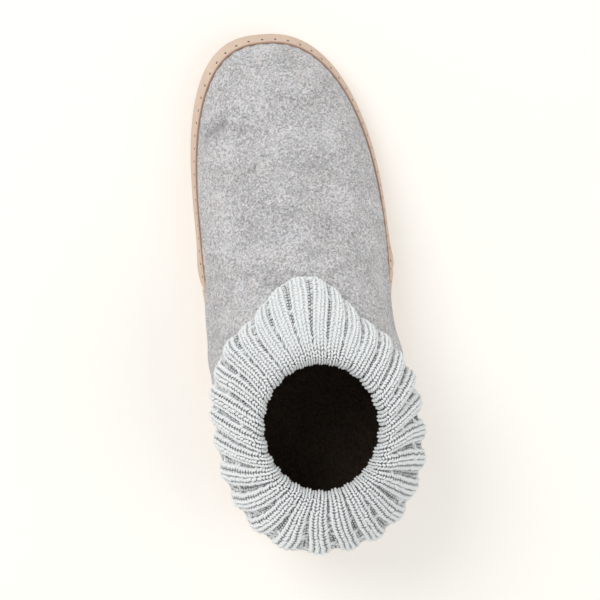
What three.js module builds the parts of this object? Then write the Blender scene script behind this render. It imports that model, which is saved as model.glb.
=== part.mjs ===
// A felt slipper boot for the right foot: suede sole panel, suede sidewall band in two lengths, felt upper,
// turned-down ribbed knit cuff and felt insole.
// Millimetres, +Z up, toe towards +Y, outer side of the foot towards +X.
// "along" runs from the heel end of the band to the toe, "across" from the middle line towards the outer side.
import * as THREE from "three";

// Driving dimensions
const LENGTH = 262; // heel end to toe end, over the band
const BAND_HEIGHT = 22; // floor to the stitched top edge of the band
const BAND_WIDEST_AT = 11; // height at which the band bulges most
const BAND_THICKNESS = 2;
const BAND_FOOT = 1.2; // height of the seam between band and sole panel
const SOLE_THICKNESS = 4;
const SOLE_EDGE_ROUND = 1;
const INSOLE_TOP = 9.3;
const FELT_THICKNESS = 3;
const FELT_FOOT = 10; // height of the felt's lower edge, tucked inside the band
const COLLAR_HEIGHT = 92; // floor to the felt's top edge
const CUFF_TOP = 105; // floor to the fold of the knit cuff
const CUFF_THICKNESS = 5.5;
const FIT_GAP = 0.3; // left between neighbouring pieces
const CUFF_GAP = 0.9; // left between the felt and the knit lying on it
const SOLE_GAP = 0.45; // left between the sole panel's edge and the band

// The felt's oval opening and the narrower mouth of the cuff above it
const ANKLE_ALONG = 67;
const OPENING_HALF_WIDTH = 31;
const OPENING_HALF_LENGTH = 34;
const MOUTH_INSET = 3.5;
const CREST_OUT = 4.5; // from the mouth's wall out to the crest of the fold
const CREST_ROUND = 5; // roundness of the fold outside its crest
const HEM_STRAIGHT = 12; // how far the cuff follows the felt up from the hem

// The sole lies flat under the heel and the forefoot, with a low arch between them and a sprung toe
const ARCH_LIFT = 1.2;
const ARCH_START = 82;
const ARCH_END = 126;
const TOE_SPRING = 4;
const TOE_SPRING_START = 205;

// Outlines seen from above. A row gives one side: where the heel cap, waist and ball lie, how far each stands
// out from the middle line, and how square the two end caps are.
const OUTLINES = {
  panel: {
    heelEnd: 4, heelTip: 1, toeEnd: 255.6, toeTip: -8,
    inner: { heelAt: 46, heel: 33.3, waistAt: 92, waist: 31.1, ballAt: 204, ball: 44.9, heelRound: 2.2, toeRound: 2.2 },
    outer: { heelAt: 64, heel: 34.0, waistAt: 90, waist: 34.8, ballAt: 168, ball: 44.6, heelRound: 2.4, toeRound: 2.1 },
  },
  band: {
    heelEnd: 0, heelTip: 0.5, toeEnd: LENGTH, toeTip: -5.5,
    inner: { heelAt: 58, heel: 44.2, waistAt: 96, waist: 46.6, ballAt: 165, ball: 48.6, heelRound: 2.3, toeRound: 2.8 },
    outer: { heelAt: 58, heel: 44.0, waistAt: 96, waist: 46.0, ballAt: 150, ball: 49.9, heelRound: 2.3, toeRound: 2.3 },
  },
  lap: {
    heelEnd: 1.2, heelTip: 0.5, toeEnd: 256.6, toeTip: -5.5,
    inner: { heelAt: 58, heel: 43.4, waistAt: 96, waist: 45.6, ballAt: 160, ball: 45.5, heelRound: 2.3, toeRound: 2.75 },
    outer: { heelAt: 58, heel: 43.2, waistAt: 96, waist: 45.2, ballAt: 148, ball: 46.8, heelRound: 2.3, toeRound: 2.3 },
  },
};
const SIDE_SIGN = { inner: -1, outer: 1 };
const SEAM_ALONG = 137; // where the two lengths of band are joined, on both sides

// The ridge of the upper, from the front of the opening to the top of the toe box
const RIDGE = [
  { at: 101, height: COLLAR_HEIGHT },
  { at: 118, height: 80 },
  { at: 138, height: 68 },
  { at: 165, height: 57 },
  { at: 190, height: 50.5 },
  { at: 218, height: 46 },
];
const RIDGE_TURN_START = 138; // from here the ridge swings towards the big toe
const TOE_BOX_ALONG = 206;
const TOE_BOX_ROUND = 2.45;
const HEEL_BACK_ROUND = 2.6;

// How square the sections of the upper are: full at the heel, steep-sided at the throat, rounded at the toes
const SECTION_SQUARE = [
  { at: 70, power: 3 },
  { at: 120, power: 1.9 },
  { at: 165, power: 2.3 },
  { at: 206, power: 2.45 },
];

// How far the soft felt swells out over the stitched edge. Below 1, SWELL_SAG puts the fullest place lower down.
const SWELL = [
  { at: 0, inner: 3, outer: 3 },
  { at: 45, inner: 6.5, outer: 10.5 },
  { at: 85, inner: 7.5, outer: 9.5 },
  { at: 122, inner: 7, outer: 4.5 },
  { at: 150, inner: 3, outer: 1.5 },
  { at: 195, inner: 0, outer: 0 },
];
const SWELL_SAG = 0.62;
const SWELL_START = 2.5; // how far above the band's top edge the swelling starts

// How far the cuff is turned down over the felt, from the felt's top edge to the hem, by degrees round from the front
const TURN_DOWN = [
  { at: 0, inner: 41, outer: 41 },
  { at: 35, inner: 33, outer: 28 },
  { at: 60, inner: 36, outer: 30 },
  { at: 95, inner: 40, outer: 39 },
  { at: 115, inner: 38, outer: 40 },
  { at: 180, inner: 32, outer: 32 },
];

// Fineness of the faceted solids
const STEPS_HEEL_TO_SEAM = 14;
const STEPS_SEAM_TO_TOE = 18;
const FELT_STEPS = { open: 13, covered: 7 }; // below the cuff's hem and under the cuff
const FOOT_CROWDING = 1.5; // above 1, the felt's points lie closer together near its lower edge
const BAND_STEPS = { lower: 5, upper: 4 };
const CUFF_STEPS = { face: 9, mouth: 4 };
const FINE_SAMPLES = 240;
const AZIMUTH_SHARE = 0.75; // how far the felt's lines of points run straight to the ankle's middle

const MATERIALS = {
  suede: new THREE.MeshStandardMaterial({ color: 0xd6b499, roughness: 0.95, metalness: 0 }),
  felt: new THREE.MeshStandardMaterial({ color: 0xc0bebe, roughness: 1, metalness: 0 }),
  knit: new THREE.MeshStandardMaterial({ color: 0xd4d8d8, roughness: 1, metalness: 0 }),
  insole: new THREE.MeshStandardMaterial({ color: 0x15110e, roughness: 1, metalness: 0 }),
};

const mix = (a, b, share) => a + (b - a) * share;
const clamp01 = (value) => Math.min(1, Math.max(0, value));
const smoothStep = (share) => share * share * (3 - 2 * share);
const easeBetween = (from, to, value) => smoothStep(clamp01((value - from) / (to - from)));

// A quarter of a superellipse: 1 at the start of the cap, 0 at its tip.
function roundCap(reach, power) {
  return Math.pow(1 - Math.pow(clamp01(reach), power), 1 / power);
}

// Reads a column of a table, easing from row to row.
function readTable(rows, column, at) {
  const next = rows.findIndex((row) => row.at >= at);
  if (next === 0) return rows[0][column];
  if (next < 0) return rows[rows.length - 1][column];
  const low = rows[next - 1];
  const high = rows[next];
  return mix(low[column], high[column], easeBetween(low.at, high.at, at));
}

// The ridge as a smooth curve through its rows.
const ridgeCurve = new THREE.SplineCurve(RIDGE.map((row) => new THREE.Vector2(row.at, row.height)));
const ridgeTable = ridgeCurve.getPoints(FINE_SAMPLES).map((p) => ({ at: p.x, height: p.y }));

// Distance from the middle line to an outline, outwards on the given side.
function halfWidth(outline, side, along) {
  const row = outline[side];
  const sign = SIDE_SIGN[side];
  if (along < row.heelAt) {
    const tip = sign * outline.heelTip;
    const reach = (row.heelAt - along) / (row.heelAt - outline.heelEnd);
    return tip + (row.heel - tip) * roundCap(reach, row.heelRound);
  }
  if (along < row.waistAt) return mix(row.heel, row.waist, easeBetween(row.heelAt, row.waistAt, along));
  if (along < row.ballAt) return mix(row.waist, row.ball, easeBetween(row.waistAt, row.ballAt, along));
  const tip = sign * outline.toeTip;
  const reach = (along - row.ballAt) / (outline.toeEnd - row.ballAt);
  return tip + (row.ball - tip) * roundCap(reach, row.toeRound);
}

// The same outline drawn in by a distance all round.
function inset(outline, distance) {
  const narrower = (row) => ({ ...row, heel: row.heel - distance, waist: row.waist - distance, ball: row.ball - distance });
  return {
    ...outline,
    heelEnd: outline.heelEnd + distance,
    toeEnd: outline.toeEnd - distance,
    inner: narrower(outline.inner),
    outer: narrower(outline.outer),
  };
}

// A point of an outline, at a share of its own length.
function outlinePoint(outline, side, share) {
  const along = mix(outline.heelEnd, outline.toeEnd, share);
  return new THREE.Vector2(SIDE_SIGN[side] * halfWidth(outline, side, along), along);
}

// Shares of the outline's length from one share to another, spaced evenly round the lap outline.
function evenShares(side, from, to, steps) {
  const shares = [];
  const lengths = [0];
  for (let i = 0; i <= FINE_SAMPLES; i++) {
    shares.push(mix(from, to, (1 - Math.cos((Math.PI * i) / FINE_SAMPLES)) / 2));
    if (i === 0) continue;
    const step = outlinePoint(OUTLINES.lap, side, shares[i]).distanceTo(outlinePoint(OUTLINES.lap, side, shares[i - 1]));
    lengths.push(lengths[i - 1] + step);
  }
  const picked = [];
  for (let k = 0; k <= steps; k++) {
    const target = (lengths[FINE_SAMPLES] * k) / steps;
    const next = Math.max(1, lengths.findIndex((length) => length >= target - 1e-9));
    const part = (target - lengths[next - 1]) / (lengths[next] - lengths[next - 1]);
    picked.push(mix(shares[next - 1], shares[next], part));
  }
  return picked;
}

// Stations of one side from heel tip to toe tip, with one on the band's seam.
function sideStations(side) {
  const seam = (SEAM_ALONG - OUTLINES.lap.heelEnd) / (OUTLINES.lap.toeEnd - OUTLINES.lap.heelEnd);
  const rear = evenShares(side, 0, seam, STEPS_HEEL_TO_SEAM);
  const fore = evenShares(side, seam, 1, STEPS_SEAM_TO_TOE);
  const shares = [...rear, ...fore.slice(1)];
  return shares.map((share, i) => ({ side, share, turn: i / (shares.length - 1) }));
}

// All stations round the foot: heel tip, outer side, toe tip, inner side.
const outerStations = sideStations("outer");
const innerStations = sideStations("inner");
const stations = [...outerStations, ...innerStations.slice(1, -1).reverse()];

// A point raised by the sole's arch, which dies away up the band, and by the toe spring.
function placed(across, along, height) {
  const middle = (ARCH_START + ARCH_END) / 2;
  const arch = easeBetween(ARCH_START, middle, along) - easeBetween(middle, ARCH_END, along);
  const spring = clamp01((along - TOE_SPRING_START) / (LENGTH - TOE_SPRING_START));
  const raised = ARCH_LIFT * arch * clamp01(1 - height / BAND_HEIGHT) + TOE_SPRING * spring * spring;
  return new THREE.Vector3(across, along, height + raised);
}

// The felt upper as a height over the floor: superellipse sections on a ridge that runs from toe tip to heel.
const feltOutline = inset(OUTLINES.lap, BAND_THICKNESS + 2 * FIT_GAP);
const openingFront = ANKLE_ALONG + OPENING_HALF_LENGTH;
const openingBack = ANKLE_ALONG - OPENING_HALF_LENGTH;

function ridgeAcross(along) {
  return feltOutline.toeTip * easeBetween(RIDGE_TURN_START, feltOutline.toeEnd, along);
}

function sectionHalfWidth(side, along) {
  return halfWidth(feltOutline, side, along) - SIDE_SIGN[side] * ridgeAcross(along);
}

// Height of a section's crown. Over the opening it is the crown that puts the opening's edge at collar height.
function crownHeight(side, along) {
  if (along >= openingFront) {
    const toeReach = (along - TOE_BOX_ALONG) / (feltOutline.toeEnd - TOE_BOX_ALONG);
    return mix(FELT_FOOT, readTable(ridgeTable, "height", along), roundCap(toeReach, TOE_BOX_ROUND));
  }
  if (along <= openingBack) {
    const heelReach = (openingBack - along) / (openingBack - feltOutline.heelEnd);
    return mix(FELT_FOOT, COLLAR_HEIGHT, roundCap(heelReach, HEEL_BACK_ROUND));
  }
  const offset = (along - ANKLE_ALONG) / OPENING_HALF_LENGTH;
  const openHalf = OPENING_HALF_WIDTH * Math.sqrt(1 - offset * offset);
  const power = readTable(SECTION_SQUARE, "power", along);
  const edgeShare = roundCap(openHalf / sectionHalfWidth(side, along), power);
  return FELT_FOOT + (COLLAR_HEIGHT - FELT_FOOT) / edgeShare;
}

function feltHeight(side, across, along) {
  const reach = Math.abs(across - ridgeAcross(along)) / Math.max(1e-6, sectionHalfWidth(side, along));
  return mix(FELT_FOOT, crownHeight(side, along), roundCap(reach, readTable(SECTION_SQUARE, "power", along)));
}

// How far round the opening the felt's line of points from a station ends, in radians forward of the foot's side.
function openingAngle(station) {
  const foot = outlinePoint(feltOutline, station.side, station.share);
  const azimuth = Math.atan2(foot.y - ANKLE_ALONG, Math.abs(foot.x));
  return mix(Math.PI * (station.turn - 0.5), azimuth, AZIMUTH_SHARE);
}

function openingPoint(station) {
  const angle = openingAngle(station);
  return new THREE.Vector2(
    SIDE_SIGN[station.side] * OPENING_HALF_WIDTH * Math.cos(angle),
    ANKLE_ALONG + OPENING_HALF_LENGTH * Math.sin(angle),
  );
}

// Picks points on a fine line of points, evenly spaced up to a distance from its end and evenly spaced after it.
function spacedPoints(line, endLength, steps) {
  const lengths = [0];
  for (let i = 1; i < line.length; i++) lengths.push(lengths[i - 1] + line[i].distanceTo(line[i - 1]));
  const total = lengths[lengths.length - 1];
  const points = [];
  for (let k = 0; k <= steps.open + steps.covered; k++) {
    const covered = (k - steps.open) / steps.covered;
    const open = Math.pow(Math.min(1, k / steps.open), FOOT_CROWDING);
    const target = covered <= 0 ? (total - endLength) * open : total - endLength * (1 - covered);
    const next = Math.max(1, lengths.findIndex((length) => length >= target - 1e-6));
    const part = (target - lengths[next - 1]) / (lengths[next] - lengths[next - 1]);
    points.push(line[next - 1].clone().lerp(line[next], part));
  }
  return points;
}

// The felt's outer face from the tucked lower edge up to the opening, as a fine line of points.
function feltLine(station) {
  const foot = outlinePoint(feltOutline, station.side, station.share);
  const top = openingPoint(station);
  const outward = foot.clone().sub(top).normalize();
  const swellFrom = BAND_HEIGHT + SWELL_START;
  const line = [];
  for (let i = 0; i <= FINE_SAMPLES; i++) {
    const plan = foot.clone().lerp(top, Math.pow(i / FINE_SAMPLES, 3));
    const height = i === FINE_SAMPLES ? COLLAR_HEIGHT : feltHeight(station.side, plan.x, plan.y);
    const rise = clamp01((height - swellFrom) / (COLLAR_HEIGHT - swellFrom));
    const swell = readTable(SWELL, station.side, plan.y) * Math.sin(Math.PI * Math.pow(rise, SWELL_SAG));
    plan.addScaledVector(outward, swell);
    line.push(placed(plan.x, plan.y, height));
  }
  return line;
}

// Moves every point of a closed grid along its normal. Points run station by station, each from foot to top.
function offsetGrid(grid, distance) {
  const count = grid.length;
  return grid.map((line, i) =>
    line.map((point, j) => {
      const round = grid[(i + 1) % count][j].clone().sub(grid[(i + count - 1) % count][j]);
      const up = line[Math.min(j + 1, line.length - 1)].clone().sub(line[Math.max(j - 1, 0)]);
      return point.clone().addScaledVector(round.cross(up).normalize(), distance);
    }),
  );
}

// A mesh from points and triangles, with its faces turned outwards.
function solidMesh(name, points, triangles, material) {
  let volume = 0;
  for (const [a, b, c] of triangles) volume += points[a].dot(points[b].clone().cross(points[c]));
  const turned = volume < 0 ? triangles.map(([a, b, c]) => [a, c, b]) : triangles;
  const geometry = new THREE.BufferGeometry().setFromPoints(points);
  geometry.setIndex(turned.flat());
  geometry.computeVertexNormals();
  const mesh = new THREE.Mesh(geometry, material);
  mesh.name = name;
  return mesh;
}

// A wall swept through closed section loops. An open run of loops gets a flat end at each end, where the first half
// of a loop is the outer face and the second half the inner face in reverse.
function sweptWall(name, loops, closed, material) {
  const size = loops[0].length;
  const points = loops.flat();
  const triangles = [];
  const runs = closed ? loops.length : loops.length - 1;
  for (let i = 0; i < runs; i++) {
    const here = i * size;
    const there = ((i + 1) % loops.length) * size;
    for (let j = 0; j < size; j++) {
      const k = (j + 1) % size;
      triangles.push([here + j, there + j, there + k], [here + j, there + k, here + k]);
    }
  }
  if (!closed) {
    const last = (loops.length - 1) * size;
    for (let j = 0; j < size / 2 - 1; j++) {
      const across = size - 1 - j;
      triangles.push([j, j + 1, across - 1], [j, across - 1, across]);
      triangles.push([last + j, last + across - 1, last + j + 1], [last + j, last + across, last + across - 1]);
    }
  }
  return solidMesh(name, points, triangles, material);
}

// A pad built from outlines stacked upwards, closed below and above by strips that run straight across the foot.
function stackedPad(name, layers, material) {
  const count = stations.length;
  const points = layers.flatMap(({ outline, height }) =>
    stations.map(({ side, share }) => {
      const plan = outlinePoint(outline, side, share);
      return placed(plan.x, plan.y, height);
    }),
  );
  const triangles = [];
  for (let layer = 0; layer < layers.length - 1; layer++) {
    for (let i = 0; i < count; i++) {
      const a = layer * count + i;
      const b = layer * count + ((i + 1) % count);
      triangles.push([a, b, b + count], [a, b + count, a + count]);
    }
  }
  const top = (layers.length - 1) * count;
  for (let i = 0; i < count / 2; i++) {
    const outer = [i, i + 1];
    const inner = [(count - i) % count, count - i - 1];
    for (const base of [0, top]) {
      const strip = [
        [outer[0], inner[0], inner[1]],
        [outer[0], inner[1], outer[1]],
      ];
      for (const [a, b, c] of strip) {
        if (a === b || b === c || a === c) continue;
        triangles.push(base === 0 ? [a, b, c] : [base + a, base + c, base + b]);
      }
    }
  }
  return solidMesh(name, points, triangles, material);
}

// Sole panel: the flat piece of suede under the foot, with its lower edge eased.
function makeOutsole() {
  const panel = OUTLINES.panel;
  return stackedPad(
    "outsole",
    [
      { outline: inset(panel, SOLE_EDGE_ROUND), height: 0 },
      { outline: panel, height: SOLE_EDGE_ROUND },
      { outline: panel, height: SOLE_THICKNESS },
    ],
    MATERIALS.suede,
  );
}

// Insole: the dark felt pad that the foot stands on.
function makeInsole() {
  const clearOfBand = BAND_THICKNESS + 2 * FIT_GAP;
  return stackedPad(
    "insole",
    [
      { outline: inset(OUTLINES.panel, BAND_THICKNESS), height: SOLE_THICKNESS + FIT_GAP },
      { outline: inset(OUTLINES.band, clearOfBand), height: INSOLE_TOP },
    ],
    MATERIALS.insole,
  );
}

// A face of the band at a station, a depth inside its outer face: out and up from the sole seam, then in to the
// stitched top edge.
function bandLine({ side, share }, depth) {
  const seam = outlinePoint(inset(OUTLINES.panel, -SOLE_GAP), side, share);
  const widest = outlinePoint(inset(OUTLINES.band, depth), side, share);
  const lap = outlinePoint(inset(OUTLINES.lap, depth), side, share);
  const line = [];
  for (let i = 0; i <= BAND_STEPS.lower; i++) {
    const angle = (Math.PI / 2) * (i / BAND_STEPS.lower);
    const plan = seam.clone().lerp(widest, Math.sin(angle));
    line.push(placed(plan.x, plan.y, mix(BAND_WIDEST_AT, BAND_FOOT + depth, Math.cos(angle))));
  }
  for (let i = 1; i <= BAND_STEPS.upper; i++) {
    const rise = i / BAND_STEPS.upper;
    const plan = widest.clone().lerp(lap, rise * rise);
    line.push(placed(plan.x, plan.y, mix(BAND_WIDEST_AT, BAND_HEIGHT, rise)));
  }
  return line;
}

// Sidewall band: one strip of suede round the heel and one round the toe, meeting at a seam on each side.
function makeBands() {
  const loops = stations.map((station) => [...bandLine(station, 0), ...bandLine(station, BAND_THICKNESS).reverse()]);
  const outerSeam = STEPS_HEEL_TO_SEAM;
  const innerSeam = stations.length - STEPS_HEEL_TO_SEAM;
  const halfGap = FIT_GAP / 2;
  const trimmed = (loop, shift) => loop.map((point) => point.clone().setY(point.y + shift));
  const fore = loops.slice(outerSeam, innerSeam + 1);
  const rear = [...loops.slice(innerSeam), ...loops.slice(0, outerSeam + 1)];
  for (const [run, shift] of [[fore, halfGap], [rear, -halfGap]]) {
    run[0] = trimmed(run[0], shift);
    run[run.length - 1] = trimmed(run[run.length - 1], shift);
  }
  return [sweptWall("band_fore", fore, false, MATERIALS.suede), sweptWall("band_rear", rear, false, MATERIALS.suede)];
}

// Felt upper: one hollow wall, open at the collar and underneath.
const feltFace = stations.map((station) => {
  const fromFront = 90 - THREE.MathUtils.radToDeg(openingAngle(station));
  return spacedPoints(feltLine(station), readTable(TURN_DOWN, station.side, fromFront), FELT_STEPS);
});

function makeUpper() {
  const innerFace = offsetGrid(feltFace, -FELT_THICKNESS);
  const loops = feltFace.map((line, i) => [...line, ...innerFace[i].slice().reverse()]);
  return sweptWall("upper", loops, true, MATERIALS.felt);
}

// Knit cuff: lies over the felt from hem to collar, stands up past the felt's top edge and folds into the mouth.
function makeCuff() {
  const lying = feltFace.map((line) => line.slice(FELT_STEPS.open));
  const underFace = offsetGrid(lying, CUFF_GAP);
  const overFace = offsetGrid(lying, CUFF_GAP + CUFF_THICKNESS);
  const loops = lying.map((line, i) => {
    const hem = overFace[i][0];
    const outward = line[line.length - 1].clone().sub(new THREE.Vector3(0, ANKLE_ALONG, COLLAR_HEIGHT)).normalize();
    const mouth = line[line.length - 1].clone().addScaledVector(outward, -MOUTH_INSET);
    mouth.z = COLLAR_HEIGHT + CUFF_GAP;
    const crest = mouth.clone().addScaledVector(outward, CREST_OUT).setZ(CUFF_TOP);
    const rise = line[1].clone().sub(line[0]).setLength(HEM_STRAIGHT);
    const face = new THREE.CubicBezierCurve3(
      hem, hem.clone().add(rise), crest.clone().addScaledVector(outward, CREST_ROUND), crest,
    ).getPoints(CUFF_STEPS.face);
    const fold = [];
    for (let k = 1; k <= CUFF_STEPS.mouth; k++) {
      const angle = (Math.PI / 2) * (k / CUFF_STEPS.mouth);
      const point = mouth.clone().addScaledVector(outward, CREST_OUT * (1 - Math.sin(angle)));
      fold.push(point.setZ(mix(mouth.z, CUFF_TOP, Math.cos(angle))));
    }
    return [...face, ...fold, ...underFace[i].slice().reverse()];
  });
  return sweptWall("cuff", loops, true, MATERIALS.knit);
}

const slipper = new THREE.Group();
slipper.add(makeOutsole(), ...makeBands(), makeInsole(), makeUpper(), makeCuff());

// The origin is under the middle of the slipper, on the floor.
const box = new THREE.Box3().setFromObject(slipper);
const middle = box.getCenter(new THREE.Vector3());
slipper.position.set(-middle.x, -middle.y, -box.min.z);

const part = new THREE.Group();
part.add(slipper);

export default part;
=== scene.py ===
"""A felt slipper boot for the right foot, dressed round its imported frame.

Suede sole panel and sidewall band, heather felt upper, turned-down ribbed knit cuff and a dark felt insole.
Shapes are worked out in millimetres: "across" from the foot's middle line to the outer side, "along" from
the heel end of the band to the toe, and up from the floor. They are laid into the frame, in metres, when a
piece is made.
"""
import math
from contextlib import contextmanager

import bpy
import numpy as np
from mathutils import Matrix, Vector


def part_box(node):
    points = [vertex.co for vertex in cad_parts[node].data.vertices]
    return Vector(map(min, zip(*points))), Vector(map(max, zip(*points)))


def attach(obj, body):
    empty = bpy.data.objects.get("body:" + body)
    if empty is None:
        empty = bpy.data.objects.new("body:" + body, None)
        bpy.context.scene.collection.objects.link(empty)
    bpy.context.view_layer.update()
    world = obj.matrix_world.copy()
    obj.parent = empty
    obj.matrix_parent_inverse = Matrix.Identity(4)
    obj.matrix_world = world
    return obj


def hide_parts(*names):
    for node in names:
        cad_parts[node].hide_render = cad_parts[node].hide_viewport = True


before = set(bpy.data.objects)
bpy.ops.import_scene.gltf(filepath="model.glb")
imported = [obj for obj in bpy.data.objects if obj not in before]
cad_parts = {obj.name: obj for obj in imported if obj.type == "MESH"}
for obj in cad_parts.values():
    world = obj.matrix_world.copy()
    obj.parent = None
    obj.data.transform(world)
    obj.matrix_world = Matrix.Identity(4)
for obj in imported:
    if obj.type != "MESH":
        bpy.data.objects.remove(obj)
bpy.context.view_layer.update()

bl_info = {
    "name": "Felt Slipper Boot",
    "version": (1, 0, 0),
    "blender": (4, 5, 0),
    "location": "View3D > Sidebar > Slipper",
    "description": "Makes the pieces of a felt slipper boot and a plain studio round them",
    "category": "Add Mesh",
}

MM = 0.001

# Sizes read from the frame
LENGTH = round((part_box("band_fore")[1].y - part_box("band_rear")[0].y) / MM, 2)
CUFF_TOP = round(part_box("cuff")[1].z / MM, 2)

# Sizes of the sole panel, the insole and the band
SOLE_THICKNESS = 4.0
SOLE_GAP = 0.45
SOLE_TURN, SOLE_TURN_HEIGHT = 2.4, 2.0
ARCH_LIFT, ARCH_START, ARCH_END = 1.2, 82.0, 126.0
TOE_SPRING, TOE_SPRING_START = 4.0, 205.0
INSOLE_INSET, INSOLE_LIFT, INSOLE_CLEAR = 2.0, 0.3, 0.4
INSOLE_TOP = 9.3
BAND_HEIGHT = 22.0
BAND_WIDEST_AT = 11.0
BAND_FOOT = 1.2
BAND_TUCK, TUCK_RISE = 0.9, 2.6
TUCK_TURN_SHARE, TUCK_TURN_RISE = 0.75, 0.8
BAND_STATIONS = (118, 150)
SEAM_ALONG = 137.0
SEAM_GAP = 0.1
SEAM_DIP, SEAM_DIP_WIDTH = 0.7, 1.3
SEAM_BULGE_LENGTH, SEAM_BULGE_FADE = 9.0, 6.0
BAND_EDGE_ROUND = 0.5

# Sizes of the felt upper
FELT_FOOT = 10.0
FELT_INSET = 2.6
COLLAR_HEIGHT = 92.0
ANKLE_ALONG = 67.0
OPENING_HALF_WIDTH = 31.0
OPENING_HALF_LENGTH = 34.0
OPENING_FRONT = ANKLE_ALONG + OPENING_HALF_LENGTH
OPENING_BACK = ANKLE_ALONG - OPENING_HALF_LENGTH
RIDGE_TURN_START = 138.0
TOE_BOX_ALONG = 206.0
TOE_BOX_ROUND = 2.45
HEEL_BACK_ROUND = 2.6
AZIMUTH_SHARE = 0.75
SWELL_SAG = 0.62
SWELL_FOOT = BAND_HEIGHT + 2.5
SWELL_PARTING = (0.03, 0.6)
BAND_HUG = 0.9
HUG_FOOT, HUG_AT, HUG_TOP = BAND_HEIGHT - 9.0, BAND_HEIGHT + 1.0, 48.0
CREASE_FOOT, CREASE_FULL = 24.0, 32.0
SHOULDER_SHARE, SHOULDER_AT, SHOULDER_SHARP = 0.45, 1.9, 1.6
# Depth at which a felt crease's painted shade begins, and the further depth over which it grows to full
SHADED_FROM, SHADED_SPAN = 0.45, 2.2
PUCKER, PUCKER_ABOVE, PUCKER_REACH, PUCKER_FADE = 0.22, 3.0, 4.0, 2.0
FELT_ROWS_CLOSER = 1.15

# Sizes of the knit cuff
CUFF_GAP = 0.9
MOUTH_INSET = 3.5
CREST_OUT = 4.5
CREST_ROUND = 5.0
CREST_LEAN, MOST_LEAN, LEAST_SPREAD = 0.85, 0.9, 8.0
HEM_THICKNESS = 2.4
HEM_RISE, HEM_BULGE = 8.5, 10.5
HEM_SHARE = 0.7
FRONT_CLOSER, FRONT_DEGREES = 0.5, 55.0
RIB_ROUND = 0.9
SCALLOP_UP, SCALLOP_DEPTH, SCALLOP_LIFT = 0.15, 0.4, 0.2
BELOW_HEM, HEM_SLOPE_UP = 62.0, 0.03
COURSE_HEIGHT = 1.62
KNIT_WIDTH, PURL_WIDTH, HEM_WIDTH = 3.7, 2.5, 2.6
HEM_COURSES, HEM_DOWN = 42, 0.004
PURL_REACH = 0.8
STRAY = (0.03, 0.05, 0.06)
BODY_SUNK = 0.6
# Heights of the yarn, in millimetres, from full painted shade where it dives deepest to none where it rises
DIVE_DEEP, DIVE_HIGH = -0.7, 0.25
MOUTH_DIVE, MOUTH_FROM, MOUTH_TO = 0.6, 0.6, 0.74
# Painted shade: the ground under the stitches and the purl bumps, whose yarn also makes the hem, are the same
# yarn painted darker
GROUND_SHADE_LIGHTNESS, PURL_SHADE_LIGHTNESS = 0.9, 0.86

# Inset and height of the rings that close the top edge of the sole panel and of the insole
SOLE_SHOULDER = [(0.2, 2.8), (0.9, 3.6), (1.6, SOLE_THICKNESS)]
INSOLE_SHOULDER = [(0.0, 7.0), (0.0, 8.0), (0.5, 8.9), (1.6, INSOLE_TOP)]

# Outlines seen from above: the sole panel, the band at its widest and its edge lapped over the felt
PANEL = {
    "heel_end": 4.0, "heel_tip": 1.0, "toe_end": 255.6, "toe_tip": -8.0,
    "inner": {"heel_at": 46, "heel": 33.3, "waist_at": 92, "waist": 31.1, "ball_at": 204, "ball": 44.9,
              "heel_round": 2.2, "toe_round": 2.2},
    "outer": {"heel_at": 64, "heel": 34.0, "waist_at": 90, "waist": 34.8, "ball_at": 168, "ball": 44.6,
              "heel_round": 2.4, "toe_round": 2.1},
}
BAND = {
    "heel_end": 0.0, "heel_tip": 0.5, "toe_end": LENGTH, "toe_tip": -5.5,
    "inner": {"heel_at": 58, "heel": 44.2, "waist_at": 96, "waist": 46.6, "ball_at": 165, "ball": 48.6,
              "heel_round": 2.3, "toe_round": 2.8},
    "outer": {"heel_at": 58, "heel": 44.0, "waist_at": 96, "waist": 46.0, "ball_at": 150, "ball": 49.9,
              "heel_round": 2.3, "toe_round": 2.3},
}
LAP = {
    "heel_end": 1.2, "heel_tip": 0.5, "toe_end": 256.6, "toe_tip": -5.5,
    "inner": {"heel_at": 58, "heel": 43.4, "waist_at": 96, "waist": 46.0, "ball_at": 160, "ball": 46.9,
              "heel_round": 2.3, "toe_round": 2.6},
    "outer": {"heel_at": 58, "heel": 43.2, "waist_at": 96, "waist": 45.2, "ball_at": 148, "ball": 47.6,
              "heel_round": 2.3, "toe_round": 2.3},
}
SIDE_SIGN = {"inner": -1.0, "outer": 1.0}
SEAM_SHARE = (SEAM_ALONG - LAP["heel_end"]) / (LAP["toe_end"] - LAP["heel_end"])

# How far forward of the band's side seam its soft bulge sits, and how high it is
SEAM_BULGE = {"inner": {"forward": 9.0, "height": 1.1}, "outer": {"forward": 2.0, "height": 1.5}}

# The ridge of the upper from the front of the opening to the top of the toe box
RIDGE = [
    {"at": 101, "height": COLLAR_HEIGHT},
    {"at": 118, "height": 80.0},
    {"at": 138, "height": 68.0},
    {"at": 165, "height": 57.0},
    {"at": 190, "height": 50.5},
    {"at": 218, "height": 46.0},
]

# How square the upper's sections are
SECTION_SQUARE = [
    {"at": 70, "power": 3.0},
    {"at": 120, "power": 1.9},
    {"at": 165, "power": 2.3},
    {"at": 206, "power": 2.45},
]

# How far the felt swells out over the stitched edge
SWELL = [
    {"at": 0, "inner": 3.0, "outer": 3.0},
    {"at": 45, "inner": 6.0, "outer": 10.2},
    {"at": 85, "inner": 8.6, "outer": 9.8},
    {"at": 116, "inner": 17.0, "outer": 10.5},
    {"at": 150, "inner": 9.0, "outer": 5.0},
    {"at": 195, "inner": 1.8, "outer": 1.0},
    {"at": 230, "inner": 0.0, "outer": 0.0},
]

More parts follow.
